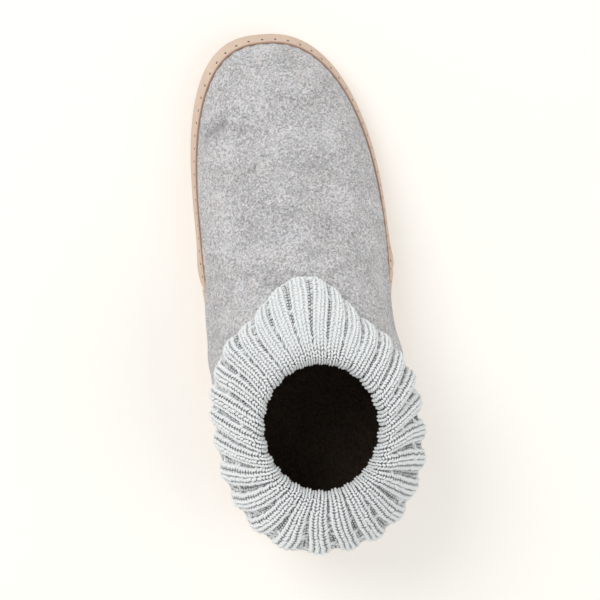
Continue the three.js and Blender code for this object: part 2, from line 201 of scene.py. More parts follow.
# Soft troughs and ridges in the felt, each along a short line seen from above; a ridge has a negative depth
CREASES = [
    {"from": (-38.5, 213.0), "to": (-30.5, 218.0), "width": 2.4, "depth": 2.4},
    {"from": (-34.0, 207.0), "to": (-24.0, 212.0), "width": 5.0, "depth": -0.5},
    {"from": (12.0, 150.0), "to": (19.0, 174.0), "width": 6.5, "depth": 1.4},
    {"from": (28.0, 154.0), "to": (34.0, 170.0), "width": 5.5, "depth": 1.3},
    {"from": (-31.0, 154.0), "to": (-22.0, 162.0), "width": 6.0, "depth": 1.2},
    {"from": (-8.0, 186.0), "to": (14.0, 194.0), "width": 9.0, "depth": 1.1},
    {"from": (-14.0, 232.0), "to": (6.0, 236.0), "width": 8.0, "depth": -0.5},
    {"from": (-12.0, 134.0), "to": (16.0, 131.0), "width": 7.0, "depth": 0.8},
    {"from": (-46.0, 112.0), "to": (-44.0, 140.0), "width": 7.0, "depth": 1.0},
    {"from": (46.0, 108.0), "to": (44.0, 138.0), "width": 7.0, "depth": 0.9},
]

# How far the cuff is turned down, by degrees round from the front
TURN_DOWN = [
    {"at": 0, "inner": 40.5, "outer": 40.5},
    {"at": 35, "inner": 31.0, "outer": 25.5},
    {"at": 60, "inner": 35.0, "outer": 28.0},
    {"at": 95, "inner": 40.0, "outer": 39.0},
    {"at": 115, "inner": 38.0, "outer": 40.0},
    {"at": 180, "inner": 32.0, "outer": 32.0},
]

# How deep the cuff's ribs are cut, and how far its stitches are drawn out, by degrees round from the front
RIB_RELIEF = [
    {"at": 0, "depth": 0.62, "drawn": 0.0},
    {"at": 45, "depth": 0.95, "drawn": 0.03},
    {"at": 80, "depth": 1.3, "drawn": 0.1},
    {"at": 180, "depth": 1.05, "drawn": 0.06},
]

# From the hem, 0, to inside the mouth, 1: how much of its pitch and of its full depth a rib takes up
RIB_FILL = ([0.0, 0.14, 0.4, 0.7, 0.85, 1.0], [0.67, 0.71, 0.79, 0.87, 0.92, 0.9])
RIB_CUT = ([0.0, 0.1, 0.5, 0.75, 1.0], [0.3, 0.95, 0.95, 0.65, 0.45])

# Waves that keep the ribs from being alike: size, turns round the cuff, turns from hem to mouth, and start
RIB_WANDER = [(0.1, 3, 0.9, 1.0), (0.05, 7, -0.7, 2.2)]
DEPTH_WAVES = [(0.16, 5, 0.0, 0.7)]
HEM_WAVES = [(0.5, 5, 0.0, 0.4), (0.35, 9, 0.0, 2.0)]

# The yarn of one stitch of each kind, in millimetres
KNIT_LEG = {"apart": 0.22, "reach": 1.41, "foot": -0.15, "rise": 1.8, "deep": -0.75, "arch": 1.3,
            "thin": 0.27, "fuller": 0.31}
PURL_BUMP = {"reach": 1.0, "slant": 0.0, "curl": 0.25, "high": 0.1, "dive": 0.6,
             "thick": 0.52, "taper": 0.22}
HEM_LINK = {"reach": 1.35, "slant": 0.55, "curl": 0.0, "high": 0.2, "dive": 0.55,
            "thick": 0.68, "taper": 0.24}

# Rows of stitches along the band's seams, in millimetres
SEAM_STITCH = {"pitch": 3.2, "length": 1.9, "margin": 1.0, "sunk": 0.35}
SOLE_STITCH = {"pitch": 4.4, "length": 3.0, "outset": 0.1, "rise": 0.4, "out": 0.6, "down": 0.8}
SEAM_THREAD_SHARE = 0.9
EDGE_STITCH_SHARE = 0.62
STITCH_SINK, STITCH_DIP, STITCH_TAPER = 0.06, 0.4, 0.45

# The studio: lights in metres, and the camera in the shoe's own millimetres
LIGHTS = [
    {"name": "key_light", "place": (-1.15, 1.15, 2.1), "size": 1.5, "power": 25.0,
     "colour": (1.0, 0.99, 0.975)},
    {"name": "fill_light", "place": (1.3, -0.6, 2.0), "size": 1.6, "power": 8.0,
     "colour": (1.0, 0.99, 0.98)},
]
LIGHT_AIM = Vector((0.0, 0.0, 0.03))
WORLD_STRENGTH = 0.66
FLOOR_SIZE, FLOOR_DROP, FLOOR_GLOW = 40.0, 0.0002, 0.3
CAMERA_EYE = (-68.5, 157.5, 1051.2)
CAMERA_AIM = (0.0, 126.0, 30.0)
CAMERA_LEAN = math.radians(5.5)
CAMERA_LENS, CAMERA_SENSOR = 122.0, 36.0


# Small helpers for numbers, lines and sheets of points

def mix(a, b, share):
    return a + (b - a) * share


def ease(low, high, value):
    share = np.clip((np.asarray(value, float) - low) / (high - low), 0.0, 1.0)
    return share * share * (3.0 - 2.0 * share)


def bell(value):
    return np.exp(-value**2)


def waves(rows, turn, up):
    """Adds up waves; a row is a wave's size, its turns round, its turns up and its start."""
    return sum(size * np.sin(2 * math.pi * (round_turns * turn + up_turns * up) + start)
               for size, round_turns, up_turns, start in rows)


def unit(vectors):
    """The same directions with a length of 1, along the last axis."""
    return vectors / np.maximum(1e-9, np.linalg.norm(vectors, axis=-1, keepdims=True))


def round_cap(reach, power):
    """A quarter of a superellipse: 1 at the start of the cap, 0 at its tip."""
    return (1.0 - np.clip(reach, 0.0, 1.0) ** power) ** (1.0 / power)


def hermite(start, end, leave, arrive, t):
    """A smooth run from start to end that leaves and arrives with the given slopes."""
    cubic = 2 * start - 2 * end + leave + arrive
    square = 3 * end - 3 * start - 2 * leave - arrive
    return cubic * t**3 + square * t**2 + leave * t + start


def bezier(handles, count):
    t = np.linspace(0, 1, count)[:, None]
    weights = [(1 - t) ** 3, 3 * t * (1 - t) ** 2, 3 * t**2 * (1 - t), t**3]
    return sum(weight * handle for weight, handle in zip(weights, handles))


def read_table(rows, column, at):
    """Reads a column of a table, easing from row to row."""
    at = np.asarray(at, float)
    value = np.full(at.shape, float(rows[0][column]))
    for low, high in zip(rows, rows[1:]):
        eased = mix(low[column], high[column], ease(low["at"], high["at"], at))
        value = np.where(at > low["at"], eased, value)
    return value


def read_line(line, measures, at):
    """Points of a line, which has a measure for each of its points, at other measures."""
    return np.stack([np.interp(at, measures, line[:, k]) for k in range(line.shape[1])], -1)


def run_lengths(line):
    return np.concatenate([[0.0], np.cumsum(np.linalg.norm(np.diff(line, axis=0), axis=1))])


def spaced(line, lengths):
    """Points on a line of points at given lengths along it."""
    return read_line(line, run_lengths(line), lengths)


def shared_out(line, shares):
    """Points on a line of points at given shares of its length."""
    return spaced(line, run_lengths(line)[-1] * shares)


def sheet_marks(runs_round, runs_up):
    """Marks for a UV map, in metres: a run round for each column and a run up for each of its points."""
    return np.stack(np.broadcast_arrays(runs_round[:, None], runs_up), -1) * MM


def sheet_normals(points):
    """Outward normals of an open sheet of points[round][up]."""
    return unit(np.cross(np.gradient(points, axis=0), np.gradient(points, axis=1)))


def grid_normals(points):
    """Outward normals of points[round][up]; the first and last columns are the same place."""
    ring = points[:-1]
    round_way = np.roll(ring, -1, 0) - np.roll(ring, 1, 0)
    normal = unit(np.cross(round_way, np.gradient(ring, axis=1)))
    return np.concatenate([normal, normal[:1]])


# Outlines and the stations round them

def half_width(outline, side, along):
    """Distance from the middle line to an outline on one side."""
    row, sign = outline[side], SIDE_SIGN[side]
    along = np.asarray(along, float)
    heel_tip, toe_tip = sign * outline["heel_tip"], sign * outline["toe_tip"]
    heel_reach = (row["heel_at"] - along) / (row["heel_at"] - outline["heel_end"])
    toe_reach = (along - row["ball_at"]) / (outline["toe_end"] - row["ball_at"])
    heel = heel_tip + (row["heel"] - heel_tip) * round_cap(heel_reach, row["heel_round"])
    waist = mix(row["heel"], row["waist"], ease(row["heel_at"], row["waist_at"], along))
    ball = mix(row["waist"], row["ball"], ease(row["waist_at"], row["ball_at"], along))
    toe = toe_tip + (row["ball"] - toe_tip) * round_cap(toe_reach, row["toe_round"])
    before = [along < row[place] for place in ("heel_at", "waist_at", "ball_at")]
    return np.select(before, [heel, waist, ball], toe)


def inset(outline, distance):
    """The same outline drawn in by a distance all round."""
    drawn = dict(outline, heel_end=outline["heel_end"] + distance, toe_end=outline["toe_end"] - distance)
    for side in SIDE_SIGN:
        row = outline[side]
        drawn[side] = dict(row, **{place: row[place] - distance for place in ("heel", "waist", "ball")})
    return drawn


def outline_point(outline, side, share):
    along = mix(outline["heel_end"], outline["toe_end"], np.asarray(share, float))
    return np.stack([SIDE_SIGN[side] * half_width(outline, side, along), along], -1)


def placed(plan, height):
    """Points over the plan, raised by the sole's arch, which dies away up the band, and by the toe spring."""
    along = plan[..., 1]
    middle = (ARCH_START + ARCH_END) / 2
    arch = ease(ARCH_START, middle, along) - ease(middle, ARCH_END, along)
    spring = np.clip((along - TOE_SPRING_START) / (LENGTH - TOE_SPRING_START), 0.0, 1.0)
    raised = ARCH_LIFT * arch * np.clip(1.0 - height / BAND_HEIGHT, 0.0, 1.0) + TOE_SPRING * spring**2
    return np.stack([plan[..., 0], along, height + raised], -1)


def side_stations(side, heel_to_seam, seam_to_toe):
    """Shares of an outline from heel tip to toe tip, evenly spaced on the lap, with one on the seam."""
    shares = []
    for low, high, steps in ((0.0, SEAM_SHARE, heel_to_seam), (SEAM_SHARE, 1.0, seam_to_toe)):
        fine = mix(low, high, (1 - np.cos(np.linspace(0, math.pi, 600))) / 2)
        runs = run_lengths(outline_point(LAP, side, fine))
        shares.append(np.interp(np.linspace(0, runs[-1], steps + 1), runs, fine))
    return np.concatenate([shares[0], shares[1][1:]])


def round_stations(heel_to_seam, seam_to_toe):
    """Side, share and turn of each station: heel tip, outer side, toe tip, inner side, heel tip."""
    rows = []
    for side in ("outer", "inner"):
        shares = side_stations(side, heel_to_seam, seam_to_toe)
        turns = np.linspace(0, 1, len(shares))
        rows.append([(side, share, turn) for share, turn in zip(shares, turns)])
    return rows[0] + rows[1][-2::-1]


# Form of the felt upper

FELT_OUTLINE = inset(LAP, FELT_INSET)


def ridge_curve(samples=240):
    """The ridge as a smooth curve through its rows."""
    rows = np.array([(row["at"], row["height"]) for row in RIDGE], float)
    last = len(rows) - 1
    points = []
    for step in range(samples + 1):
        place = last * step / samples
        k = min(int(place), last - 1)
        before, start, end, after = rows[max(k - 1, 0)], rows[k], rows[k + 1], rows[min(k + 2, last)]
        points.append(hermite(start, end, (end - before) / 2, (after - start) / 2, place - k))
    return np.array(points)


RIDGE_CURVE = ridge_curve()


def ridge_across(along):
    return FELT_OUTLINE["toe_tip"] * ease(RIDGE_TURN_START, FELT_OUTLINE["toe_end"], along)


def felt_height(side, across, along):
    """The felt upper as a height over the floor: superellipse sections hung on the ridge."""
    half = np.maximum(1e-6, half_width(FELT_OUTLINE, side, along) - SIDE_SIGN[side] * ridge_across(along))
    power = read_table(SECTION_SQUARE, "power", along)
    toe_reach = (along - TOE_BOX_ALONG) / (FELT_OUTLINE["toe_end"] - TOE_BOX_ALONG)
    ridge = np.interp(along, RIDGE_CURVE[:, 0], RIDGE_CURVE[:, 1])
    fore = mix(FELT_FOOT, ridge, round_cap(toe_reach, TOE_BOX_ROUND))
    heel_reach = (OPENING_BACK - along) / (OPENING_BACK - FELT_OUTLINE["heel_end"])
    back = mix(FELT_FOOT, COLLAR_HEIGHT, round_cap(heel_reach, HEEL_BACK_ROUND))
    offset = np.clip((along - ANKLE_ALONG) / OPENING_HALF_LENGTH, -1.0, 1.0)
    open_half = OPENING_HALF_WIDTH * np.sqrt(1.0 - offset**2)
    edge_share = np.maximum(1e-3, round_cap(open_half / half, power))
    over = FELT_FOOT + (COLLAR_HEIGHT - FELT_FOOT) / edge_share
    crown = np.select([along >= OPENING_FRONT, along <= OPENING_BACK], [fore, back], over)
    return mix(FELT_FOOT, crown, round_cap(np.abs(across - ridge_across(along)) / half, power))


def opening_angle(side, share, turn):
    """How far round the opening a station's line ends, in radians forward of the foot's side."""
    foot = outline_point(FELT_OUTLINE, side, share)
    azimuth = np.arctan2(foot[..., 1] - ANKLE_ALONG, SIDE_SIGN[side] * foot[..., 0])
    return mix(math.pi * (np.asarray(turn) - 0.5), azimuth, AZIMUTH_SHARE)


def opening_side(side, steps=500):
    """Shares along one side with the opening angle that each one's line ends at."""
    shares = side_stations(side, steps // 2, steps // 2)
    return shares, opening_angle(side, shares, np.linspace(0, 1, len(shares)))


def felt_line(side, share, angle, samples=240):
    """The felt's outer face from its tucked lower edge up to the opening, as a fine line of points."""
    foot = outline_point(FELT_OUTLINE, side, share)
    top = np.array([
        SIDE_SIGN[side] * OPENING_HALF_WIDTH * math.cos(angle),
        ANKLE_ALONG + OPENING_HALF_LENGTH * math.sin(angle),
    ])
    outward = unit(foot - top)
    plan = mix(foot, top, (np.linspace(0, 1, samples + 1) ** 3)[:, None])
    height = felt_height(side, plan[:, 0], plan[:, 1])
    height[-1] = COLLAR_HEIGHT
    rise = np.clip((height - SWELL_FOOT) / (COLLAR_HEIGHT - SWELL_FOOT), 0.0, 1.0)
    swells = {name: read_table(SWELL, name, plan[:, 1]) for name in SIDE_SIGN}
    even = (swells["inner"] + swells["outer"]) / 2
    swell = mix(even, swells[side], ease(*SWELL_PARTING, abs(outward[0])))
    swell *= np.sin(math.pi * rise**SWELL_SAG)
    hug = outline_point(inset(LAP, BAND_HUG), side, share) - read_line(plan, height, HUG_AT)
    held = ease(HUG_TOP, HUG_AT, height) * ease(HUG_FOOT, BAND_HEIGHT, height)
    return placed(plan + outward * swell[:, None] + hug * held[:, None], height)


def crease_lift(points):
    """How far each point of the felt is lifted or sunk by the creases, which have soft shoulders."""
    lift = np.zeros(points.shape[:-1])
    plan = points[..., :2]
    for row in CREASES:
        start, end = np.array(row["from"]), np.array(row["to"])
        way = end - start
        share = np.clip(((plan - start) @ way) / (way @ way), 0.0, 1.0)
        near = np.linalg.norm(plan - (start + share[..., None] * way), axis=-1) / row["width"]
        shoulder = SHOULDER_SHARE * np.exp(-((near - SHOULDER_AT) ** 2) * SHOULDER_SHARP)
        lift += row["depth"] * (shoulder - bell(near))
    return lift * ease(CREASE_FOOT, CREASE_FULL, points[..., 2])


def felt_sheet(stitch_pitch, rows=84, heel_to_seam=76, seam_to_toe=92):
    """Points, marks and shares of painted crease shade of the felt's outer face, which puckers over the
    stitched edge.
    """
    columns = []
    for side, share, turn in round_stations(heel_to_seam, seam_to_toe):
        line = felt_line(side, share, float(opening_angle(side, share, turn)))
        columns.append(shared_out(line, np.linspace(0, 1, rows + 1) ** FELT_ROWS_CLOSER))
    points = np.array(columns)
    points[-1] = points[0]
    lift = crease_lift(points)
    # Painted shade: a share for each point, greater where a crease is sunk deeper
    crease_shade = np.clip((-lift - SHADED_FROM) / SHADED_SPAN, 0.0, 1.0)
    edge = run_lengths(points[:, 0])
    above = points[..., 2] - BAND_HEIGHT
    pucker = PUCKER * bell((above - PUCKER_ABOVE) / PUCKER_REACH) * ease(0.0, PUCKER_FADE, above)
    lift += pucker * np.sin(2 * math.pi * edge / stitch_pitch)[:, None]
    points = points + grid_normals(points) * lift[..., None]
    return points, sheet_marks(edge, np.array([run_lengths(line) for line in points])), crease_shade


# Form of the band and of the flat pads

def band_lines(stations):
    """The band's outer face at each station: from the sole seam out and up, then in to the stitched edge."""
    outlines = (inset(PANEL, BAND_TUCK), inset(PANEL, -SOLE_GAP), BAND, LAP)
    lines = []
    for side, share, _ in stations:
        tucked, seam, widest, edge = (outline_point(outline, side, share) for outline in outlines)
        line = [
            placed(tucked, BAND_FOOT + TUCK_RISE),
            placed(mix(tucked, seam, TUCK_TURN_SHARE), BAND_FOOT + TUCK_TURN_RISE),
        ]
        for angle in np.linspace(0, math.pi / 2, 11):
            height = mix(BAND_WIDEST_AT, BAND_FOOT, math.cos(angle))
            line.append(placed(mix(seam, widest, math.sin(angle)), height))
        for rise in np.linspace(0, 1, 10)[1:]:
            line.append(placed(mix(widest, edge, rise**2), mix(BAND_WIDEST_AT, BAND_HEIGHT, rise)))
        lines.append(line)
    return np.array(lines)


def band_run(part):
    """Points and marks of one length of the band; it bulges softly near its side seams and dips into them."""
    stations = round_stations(*BAND_STATIONS)
    lines = band_lines(stations)
    outer_seam, inner_seam = BAND_STATIONS[0], len(stations) - 1 - BAND_STATIONS[0]
    if part == "fore":
        points = lines[outer_seam:inner_seam + 1]
    else:
        points = np.concatenate([lines[inner_seam:-1], lines[:outer_seam + 1]])
    inner, outer = SEAM_BULGE["inner"], SEAM_BULGE["outer"]
    away, on_inner = points[..., 1] - SEAM_ALONG, points[..., 0] < 0
    forward = np.where(on_inner, inner["forward"], outer["forward"])
    lift = np.where(on_inner, inner["height"], outer["height"]) * bell((away - forward) / SEAM_BULGE_LENGTH)
    lift -= SEAM_DIP * bell(away / SEAM_DIP_WIDTH)
    lift *= ease(0.0, SEAM_BULGE_FADE, BAND_HEIGHT - points[..., 2])
    points = points + sheet_normals(points) * lift[..., None]
    points[[0, -1], :, 1] += SEAM_GAP / 2 if part == "fore" else -SEAM_GAP / 2
    down = np.array([run_lengths(line[::-1])[::-1] for line in points])
    return points, sheet_marks(run_lengths(points[:, -1]), down)


def pad_points(rings, steps):
    """A closed pad of rings (outline, height, share): share 1 lies on the outline, 0 on the middle line."""
    shares = (1 - np.cos(np.linspace(0, math.pi, steps + 1))) / 2
    halves = []
    for side, other, order in (("outer", "inner", shares), ("inner", "outer", shares[-2::-1])):
        columns = []
        for outline, height, reach in rings:
            edge = outline_point(outline, side, order)
            middle = (edge + outline_point(outline, other, order)) / 2
            columns.append(placed(mix(middle, edge, reach), np.full(len(order), height)))
        halves.append(np.stack(columns, 1))
    return np.concatenate(halves)


# Form of the knit cuff

class CuffForm:
    """The knit cuff as a surface: turn is 0 to 1 from the heel, up is 0 at the hem and 1 in the mouth."""

    def __init__(self, ribs, rib_depth, columns=312, rows=96):
        self.ribs = ribs
        self.rib_depth = rib_depth
        self.crest, self.under, self.round_from_front = self.evened(*self.profiles(columns, rows))
        self.normal = self.round_normals(self.crest)

    @staticmethod
    def stations(columns):
        """Side, share and opening angle of evenly spaced lines round the opening."""
        fine = {side: opening_side(side) for side in SIDE_SIGN}
        first, last = fine["outer"][1][0], fine["outer"][1][-1]
        found = []
        for turn in np.arange(columns + 1) / columns:
            angle = math.pi * (2 * turn - 0.5)
            side = "outer" if first <= angle <= last else "inner"
            if side == "inner":
                angle = math.pi - angle if angle > last else -math.pi - angle
            shares, angles = fine[side]
            found.append((side, float(np.interp(angle, angles, shares)), angle))
        return found

    def profiles(self, columns, rows, lying_rows=12):
        """Lines of the outer face from the hem over the fold into the mouth, and of the face on the felt."""
        lying = []
        for side, share, angle in self.stations(columns):
            line = felt_line(side, share, angle)
            depth = float(read_table(TURN_DOWN, side, 90 - math.degrees(angle)))
            lying.append(spaced(line, run_lengths(line)[-1] - depth * np.linspace(1, 0, lying_rows + 1)))
        lying = self.bridged(self.bridged(np.array(lying), columns // 2), 0)
        normal = self.round_normals(lying)
        crests = []
        for line, out in zip(lying, normal[:, 0]):
            crests.append(shared_out(self.profile(line, out), np.linspace(0, 1, rows + 1)))
        return np.array(crests), lying + normal * CUFF_GAP

    @staticmethod
    def profile(line, out, face_points=60, fold_points=30):
        """The cuff over one line on the felt: a tucked hem, a bulging face and a fold that leans with it."""
        hem = line[0] + out * (CUFF_GAP + HEM_THICKNESS)
        outward = unit(line[-1] - np.array([0.0, ANKLE_ALONG, COLLAR_HEIGHT]))
        crest = line[-1] + outward * (CREST_OUT - MOUTH_INSET)
        crest[2] = CUFF_TOP
        reach = (hem - crest) * (1.0, 1.0, 0.0)
        aslant = reach / max(LEAST_SPREAD, reach @ outward) - outward
        lean = outward + CREST_LEAN * np.clip(aslant - outward * (aslant @ outward), -MOST_LEAN, MOST_LEAN)
        mouth = crest - lean * CREST_OUT
        mouth[2] = COLLAR_HEIGHT + CUFF_GAP
        bulge = hem + unit(line[1] - line[0]) * HEM_RISE + out * HEM_BULGE
        face = bezier([hem, bulge, crest + lean * CREST_ROUND, crest], face_points)
        angles = np.linspace(0, math.pi / 2, fold_points)[1:, None]
        fold = mouth + lean * CREST_OUT * (1 - np.sin(angles))
        fold[:, 2] = mix(mouth[2], CUFF_TOP, np.cos(angles[:, 0]))
        return np.concatenate([face, fold])

    @staticmethod
    def bridged(table, middle, reach=7, near=4):
        """Draws the columns round one place, where the two sides of the felt meet, over as one smooth run."""
        half, span = (len(table) - 1) // 2, 2 * reach
        rolled = np.roll(table[:-1], half - middle, axis=0)
        first, last = half - reach, half + reach
        leave = (rolled[first] - rolled[first - near]) * span / near
        arrive = (rolled[last + near] - rolled[last]) * span / near
        t = (np.arange(span + 1) / span)[:, None, None]
        rolled[first:last + 1] = hermite(rolled[first], rolled[last], leave, arrive, t)
        rolled = np.roll(rolled, middle - half, axis=0)
        return np.concatenate([rolled, rolled[:1]])

    @staticmethod
    def round_normals(table):
        """Normals of a surface that runs round and meets itself."""
        return grid_normals(np.concatenate([table[-4:-1], table, table[1:4]]))[3:-3]

    @staticmethod
    def evened(crest, under):
        """Spaces the columns so that the ribs lie evenly round hem and mouth, and closer at the front."""
        columns = len(crest) - 1
        degrees = np.abs(np.arange(columns + 1) / columns - 0.5) * 360.0
        closer = 1.0 + FRONT_CLOSER * bell(degrees[:-1] / FRONT_DEGREES)
        hem, mouth = np.diff(run_lengths(crest[:, 0])), np.diff(run_lengths(crest[:, -1]))
        step = HEM_SHARE * closer * hem / hem.sum() + (1.0 - HEM_SHARE) * mouth / mouth.sum()
        measure = np.concatenate([[0.0], np.cumsum(step)]) / step.sum()
        at = np.interp(np.linspace(0, 1, columns + 1), measure, np.arange(columns + 1))
        low = np.minimum(at.astype(int), columns - 1)
        share = at - low
        tables = [mix(table[low], table[low + 1], share[:, None, None]) for table in (crest, under)]
        return *tables, mix(degrees[low], degrees[low + 1], share)

    def read_relief(self, column, turn):
        """Reads the table of the ribs' relief at a turn round the cuff."""
        turns = np.linspace(0, 1, len(self.round_from_front))
        return read_table(RIB_RELIEF, column, np.interp(np.mod(turn, 1.0), turns, self.round_from_front))

    @staticmethod
    def sample(table, turn, up):
        columns, rows = table.shape[0] - 1, table.shape[1] - 1
        x, y = np.mod(turn, 1.0) * columns, np.clip(up, 0.0, 1.0) * rows
        i, j = np.minimum(x.astype(int), columns - 1), np.minimum(y.astype(int), rows - 1)
        across, along = (x - i)[..., None], (y - j)[..., None]
        low = mix(table[i, j], table[i + 1, j], across)
        high = mix(table[i, j + 1], table[i + 1, j + 1], across)
        return mix(low, high, along)

    def ribbed(self, turn, up, sunk=0.0):
        """The ribbed face: full on a rib's crown and cut away in the troughs. Below the hem it runs on."""
        phase = np.mod(turn * self.ribs, 1.0)
        reach = np.abs(phase - 0.5) * 2.0 / np.interp(up, *RIB_FILL)
        fall = 1.0 - np.sqrt(1.0 - np.clip(reach * RIB_ROUND, 0.0, RIB_ROUND) ** 2)
        fall /= 1.0 - math.sqrt(1.0 - RIB_ROUND**2)
        relief = self.read_relief("depth", turn)
        depth = self.rib_depth * relief * (1.0 + waves(DEPTH_WAVES, turn, up)) * np.interp(up, *RIB_CUT)
        cut = depth * fall + sunk * relief
        turn = turn + waves(RIB_WANDER, turn, up) / self.ribs
        normal = unit(self.sample(self.normal, turn, up))
        hem = self.sample(self.crest, turn, np.full_like(up, 0.0))
        downward = unit(hem - self.sample(self.crest, turn, np.full_like(up, HEM_SLOPE_UP)))
        scallop = np.clip(SCALLOP_UP - up, 0.0, SCALLOP_UP) / SCALLOP_UP
        scalloped = relief * (SCALLOP_DEPTH * (1 - fall) - SCALLOP_LIFT)
        drop = scallop**2 * (scalloped + waves(HEM_WAVES, turn, up))
        drop -= np.minimum(up, 0.0) * BELOW_HEM
        return self.sample(self.crest, turn, up) - normal * cut[..., None] + downward * drop[..., None]

    def knitted(self, turn, up, height):
        """Points at a height over the ribbed face."""
        step_round, step_up = 0.0006, 0.006
        way = self.ribbed(turn + step_round, up) - self.ribbed(turn - step_round, up)
        rise = self.ribbed(turn, up + step_up) - self.ribbed(turn, up - step_up)
        return self.ribbed(turn, up) + unit(np.cross(way, rise)) * height[..., None]


# Where the shoe's own sizes lie in the frame

SHIFT = np.array([
    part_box("band_fore")[0].x / MM + BAND["inner"]["ball"],
    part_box("band_rear")[0].y / MM,
    0.0,
])


def framed(points):
    """Points of the shoe in the frame, in metres."""
    return (np.asarray(points, float) + SHIFT) * MM


# Sizes and colours that a user may change

def tone(*look):
    """A colour read off as it looks on screen, 0 to 255, as the linear one that shaders take."""
    shares = [part / 255 for part in look]
    return tuple(share / 12.92 if share < 0.04 else ((share + 0.055) / 1.055) ** 2.4 for share in shares)


class SlipperSizes(bpy.types.PropertyGroup):
    """Sizes of the slipper's make that a user may change.

    More ribs or courses than these would take the knit past the triangles that one piece may have.
    """

    felt_thickness: bpy.props.FloatProperty(
        name="Felt thickness", description="Thickness of the felt upper with its lining",
        default=0.003, min=0.001, max=0.006, unit="LENGTH", subtype="DISTANCE")
    suede_thickness: bpy.props.FloatProperty(
        name="Suede thickness", description="Thickness of the sidewall band",
        default=0.0011, min=0.0008, max=0.002, unit="LENGTH", subtype="DISTANCE")
    stitch_pitch: bpy.props.FloatProperty(
        name="Stitch pitch", description="Distance between the needle holes along the band's top edge",
        default=0.00645, min=0.003, max=0.012, unit="LENGTH", subtype="DISTANCE")
    stitch_inset: bpy.props.FloatProperty(
        name="Stitch inset", description="Distance of the needle holes from the band's top edge",
        default=0.0027, min=0.001, max=0.008, unit="LENGTH", subtype="DISTANCE")
    thread_thickness: bpy.props.FloatProperty(
        name="Thread thickness", description="Diameter of the sewing thread",
        default=0.00055, min=0.0003, max=0.0015, unit="LENGTH", subtype="DISTANCE")
    ribs: bpy.props.IntProperty(
        name="Ribs", description="Number of ribs round the knit cuff", default=28, min=12, max=28)
    courses: bpy.props.IntProperty(
        name="Courses", description="Rows of stitches from the hem over the fold into the mouth",
        default=31, min=20, max=31)
    rib_depth: bpy.props.FloatProperty(
        name="Rib depth", description="How far the ribs stand out over the troughs",
        default=0.0024, min=0.0005, max=0.005, unit="LENGTH", subtype="DISTANCE")


class SlipperColours(bpy.types.PropertyGroup):
    """Colours of the slipper's materials that a user may change."""

    felt: bpy.props.FloatVectorProperty(
        name="Felt", description="Middle grey of the heather felt", subtype="COLOR", size=3, min=0, max=1,
        default=tone(196, 196, 199))
    knit: bpy.props.FloatVectorProperty(
        name="Knit", description="Pale grey of the cuff's yarn", subtype="COLOR", size=3, min=0, max=1,
        default=tone(250, 254, 255))
    band: bpy.props.FloatVectorProperty(
        name="Band suede", description="Tan of the sidewall band", subtype="COLOR", size=3, min=0, max=1,
        default=tone(222, 201, 185))
    sole: bpy.props.FloatVectorProperty(
        name="Sole suede", description="Tan of the sole panel", subtype="COLOR", size=3, min=0, max=1,
        default=tone(214, 182, 157))
    lining: bpy.props.FloatVectorProperty(
        name="Lining", description="Dark brown of lining and insole", subtype="COLOR", size=3, min=0, max=1,
        default=tone(88, 76, 66))
    floor: bpy.props.FloatVectorProperty(
        name="Floor", description="Pale cream of the studio floor", subtype="COLOR", size=3, min=0, max=1,
        default=tone(225, 224, 221))


# Making and finishing meshes

def pick_only(*pieces):
    """Selects these pieces and nothing else, in object mode, with the first one active."""
    if bpy.context.object and bpy.context.object.mode != "OBJECT":
        bpy.ops.object.mode_set(mode="OBJECT")
    bpy.ops.object.select_all(action="DESELECT")
    for piece in pieces:
        piece.select_set(True)
    bpy.context.view_layer.objects.active = pieces[0]


@contextmanager
def edit_mode(piece):
    """Edit mode on one piece, with all of it selected."""
    pick_only(piece)
    bpy.ops.object.mode_set(mode="EDIT")
    bpy.ops.mesh.select_all(action="SELECT")
    yield
    bpy.ops.object.mode_set(mode="OBJECT")


def apply_modifier(piece, kind, **settings):
    """Adds a modifier with its settings and applies it."""
    modifier = piece.modifiers.new(kind.title(), kind)
    for name, value in settings.items():
        setattr(modifier, name, value)
    pick_only(piece)
    bpy.ops.object.modifier_apply(modifier=modifier.name)


def joined(pieces, name):
    """Joins pieces into the first one and names it."""
    pick_only(*pieces)
    if len(pieces) > 1:
        bpy.ops.object.join()
    pieces[0].name = pieces[0].data.name = name
    return pieces[0]


def mesh_points(piece):
    flat = np.empty(len(piece.data.vertices) * 3)
    piece.data.vertices.foreach_get("co", flat)
    return flat.reshape(-1, 3)


def set_mesh_points(piece, points):
    piece.data.vertices.foreach_set("co", points.ravel())
    piece.data.update()


def set_marks(piece, marks):
    """Puts a mark for each vertex into the UV map."""
    corners = np.empty(len(piece.data.loops), int)
    piece.data.loops.foreach_get("vertex_index", corners)
    piece.data.uv_layers[0].data.foreach_set("uv", marks[corners].ravel())


def set_shares(piece, name, shares):
    """Keeps a share for each vertex on the mesh as an attribute."""
    piece.data.attributes.new(name, "FLOAT", "POINT").data.foreach_set("value", shares)


def laid_grid(name, points, marks, crease_shade=None):
    """A grid primitive laid on points[round][up] of the shoe and sewn up where it meets itself.

    Its UV map is marks[round][up]. A share of painted crease shade for each point is kept on the mesh as an
    attribute.
    """
    columns, rows = points.shape[0] - 1, points.shape[1] - 1
    bpy.ops.object.select_all(action="DESELECT")
    bpy.ops.mesh.primitive_grid_add(x_subdivisions=columns, y_subdivisions=rows, size=2.0, calc_uvs=True)
    piece = bpy.context.object
    piece.name = piece.data.name = name
    flat = mesh_points(piece)
    i = np.rint((flat[:, 0] + 1) / 2 * columns).astype(int)
    j = np.rint((flat[:, 1] + 1) / 2 * rows).astype(int)
    set_mesh_points(piece, framed(points[i, j]))
    set_marks(piece, marks[i, j])
    if crease_shade is not None:
        set_shares(piece, "crease_shade", crease_shade[i, j])
    with edit_mode(piece):
        bpy.ops.mesh.remove_doubles(threshold=2e-6)
        bpy.ops.mesh.dissolve_degenerate(threshold=1e-6)
    return piece


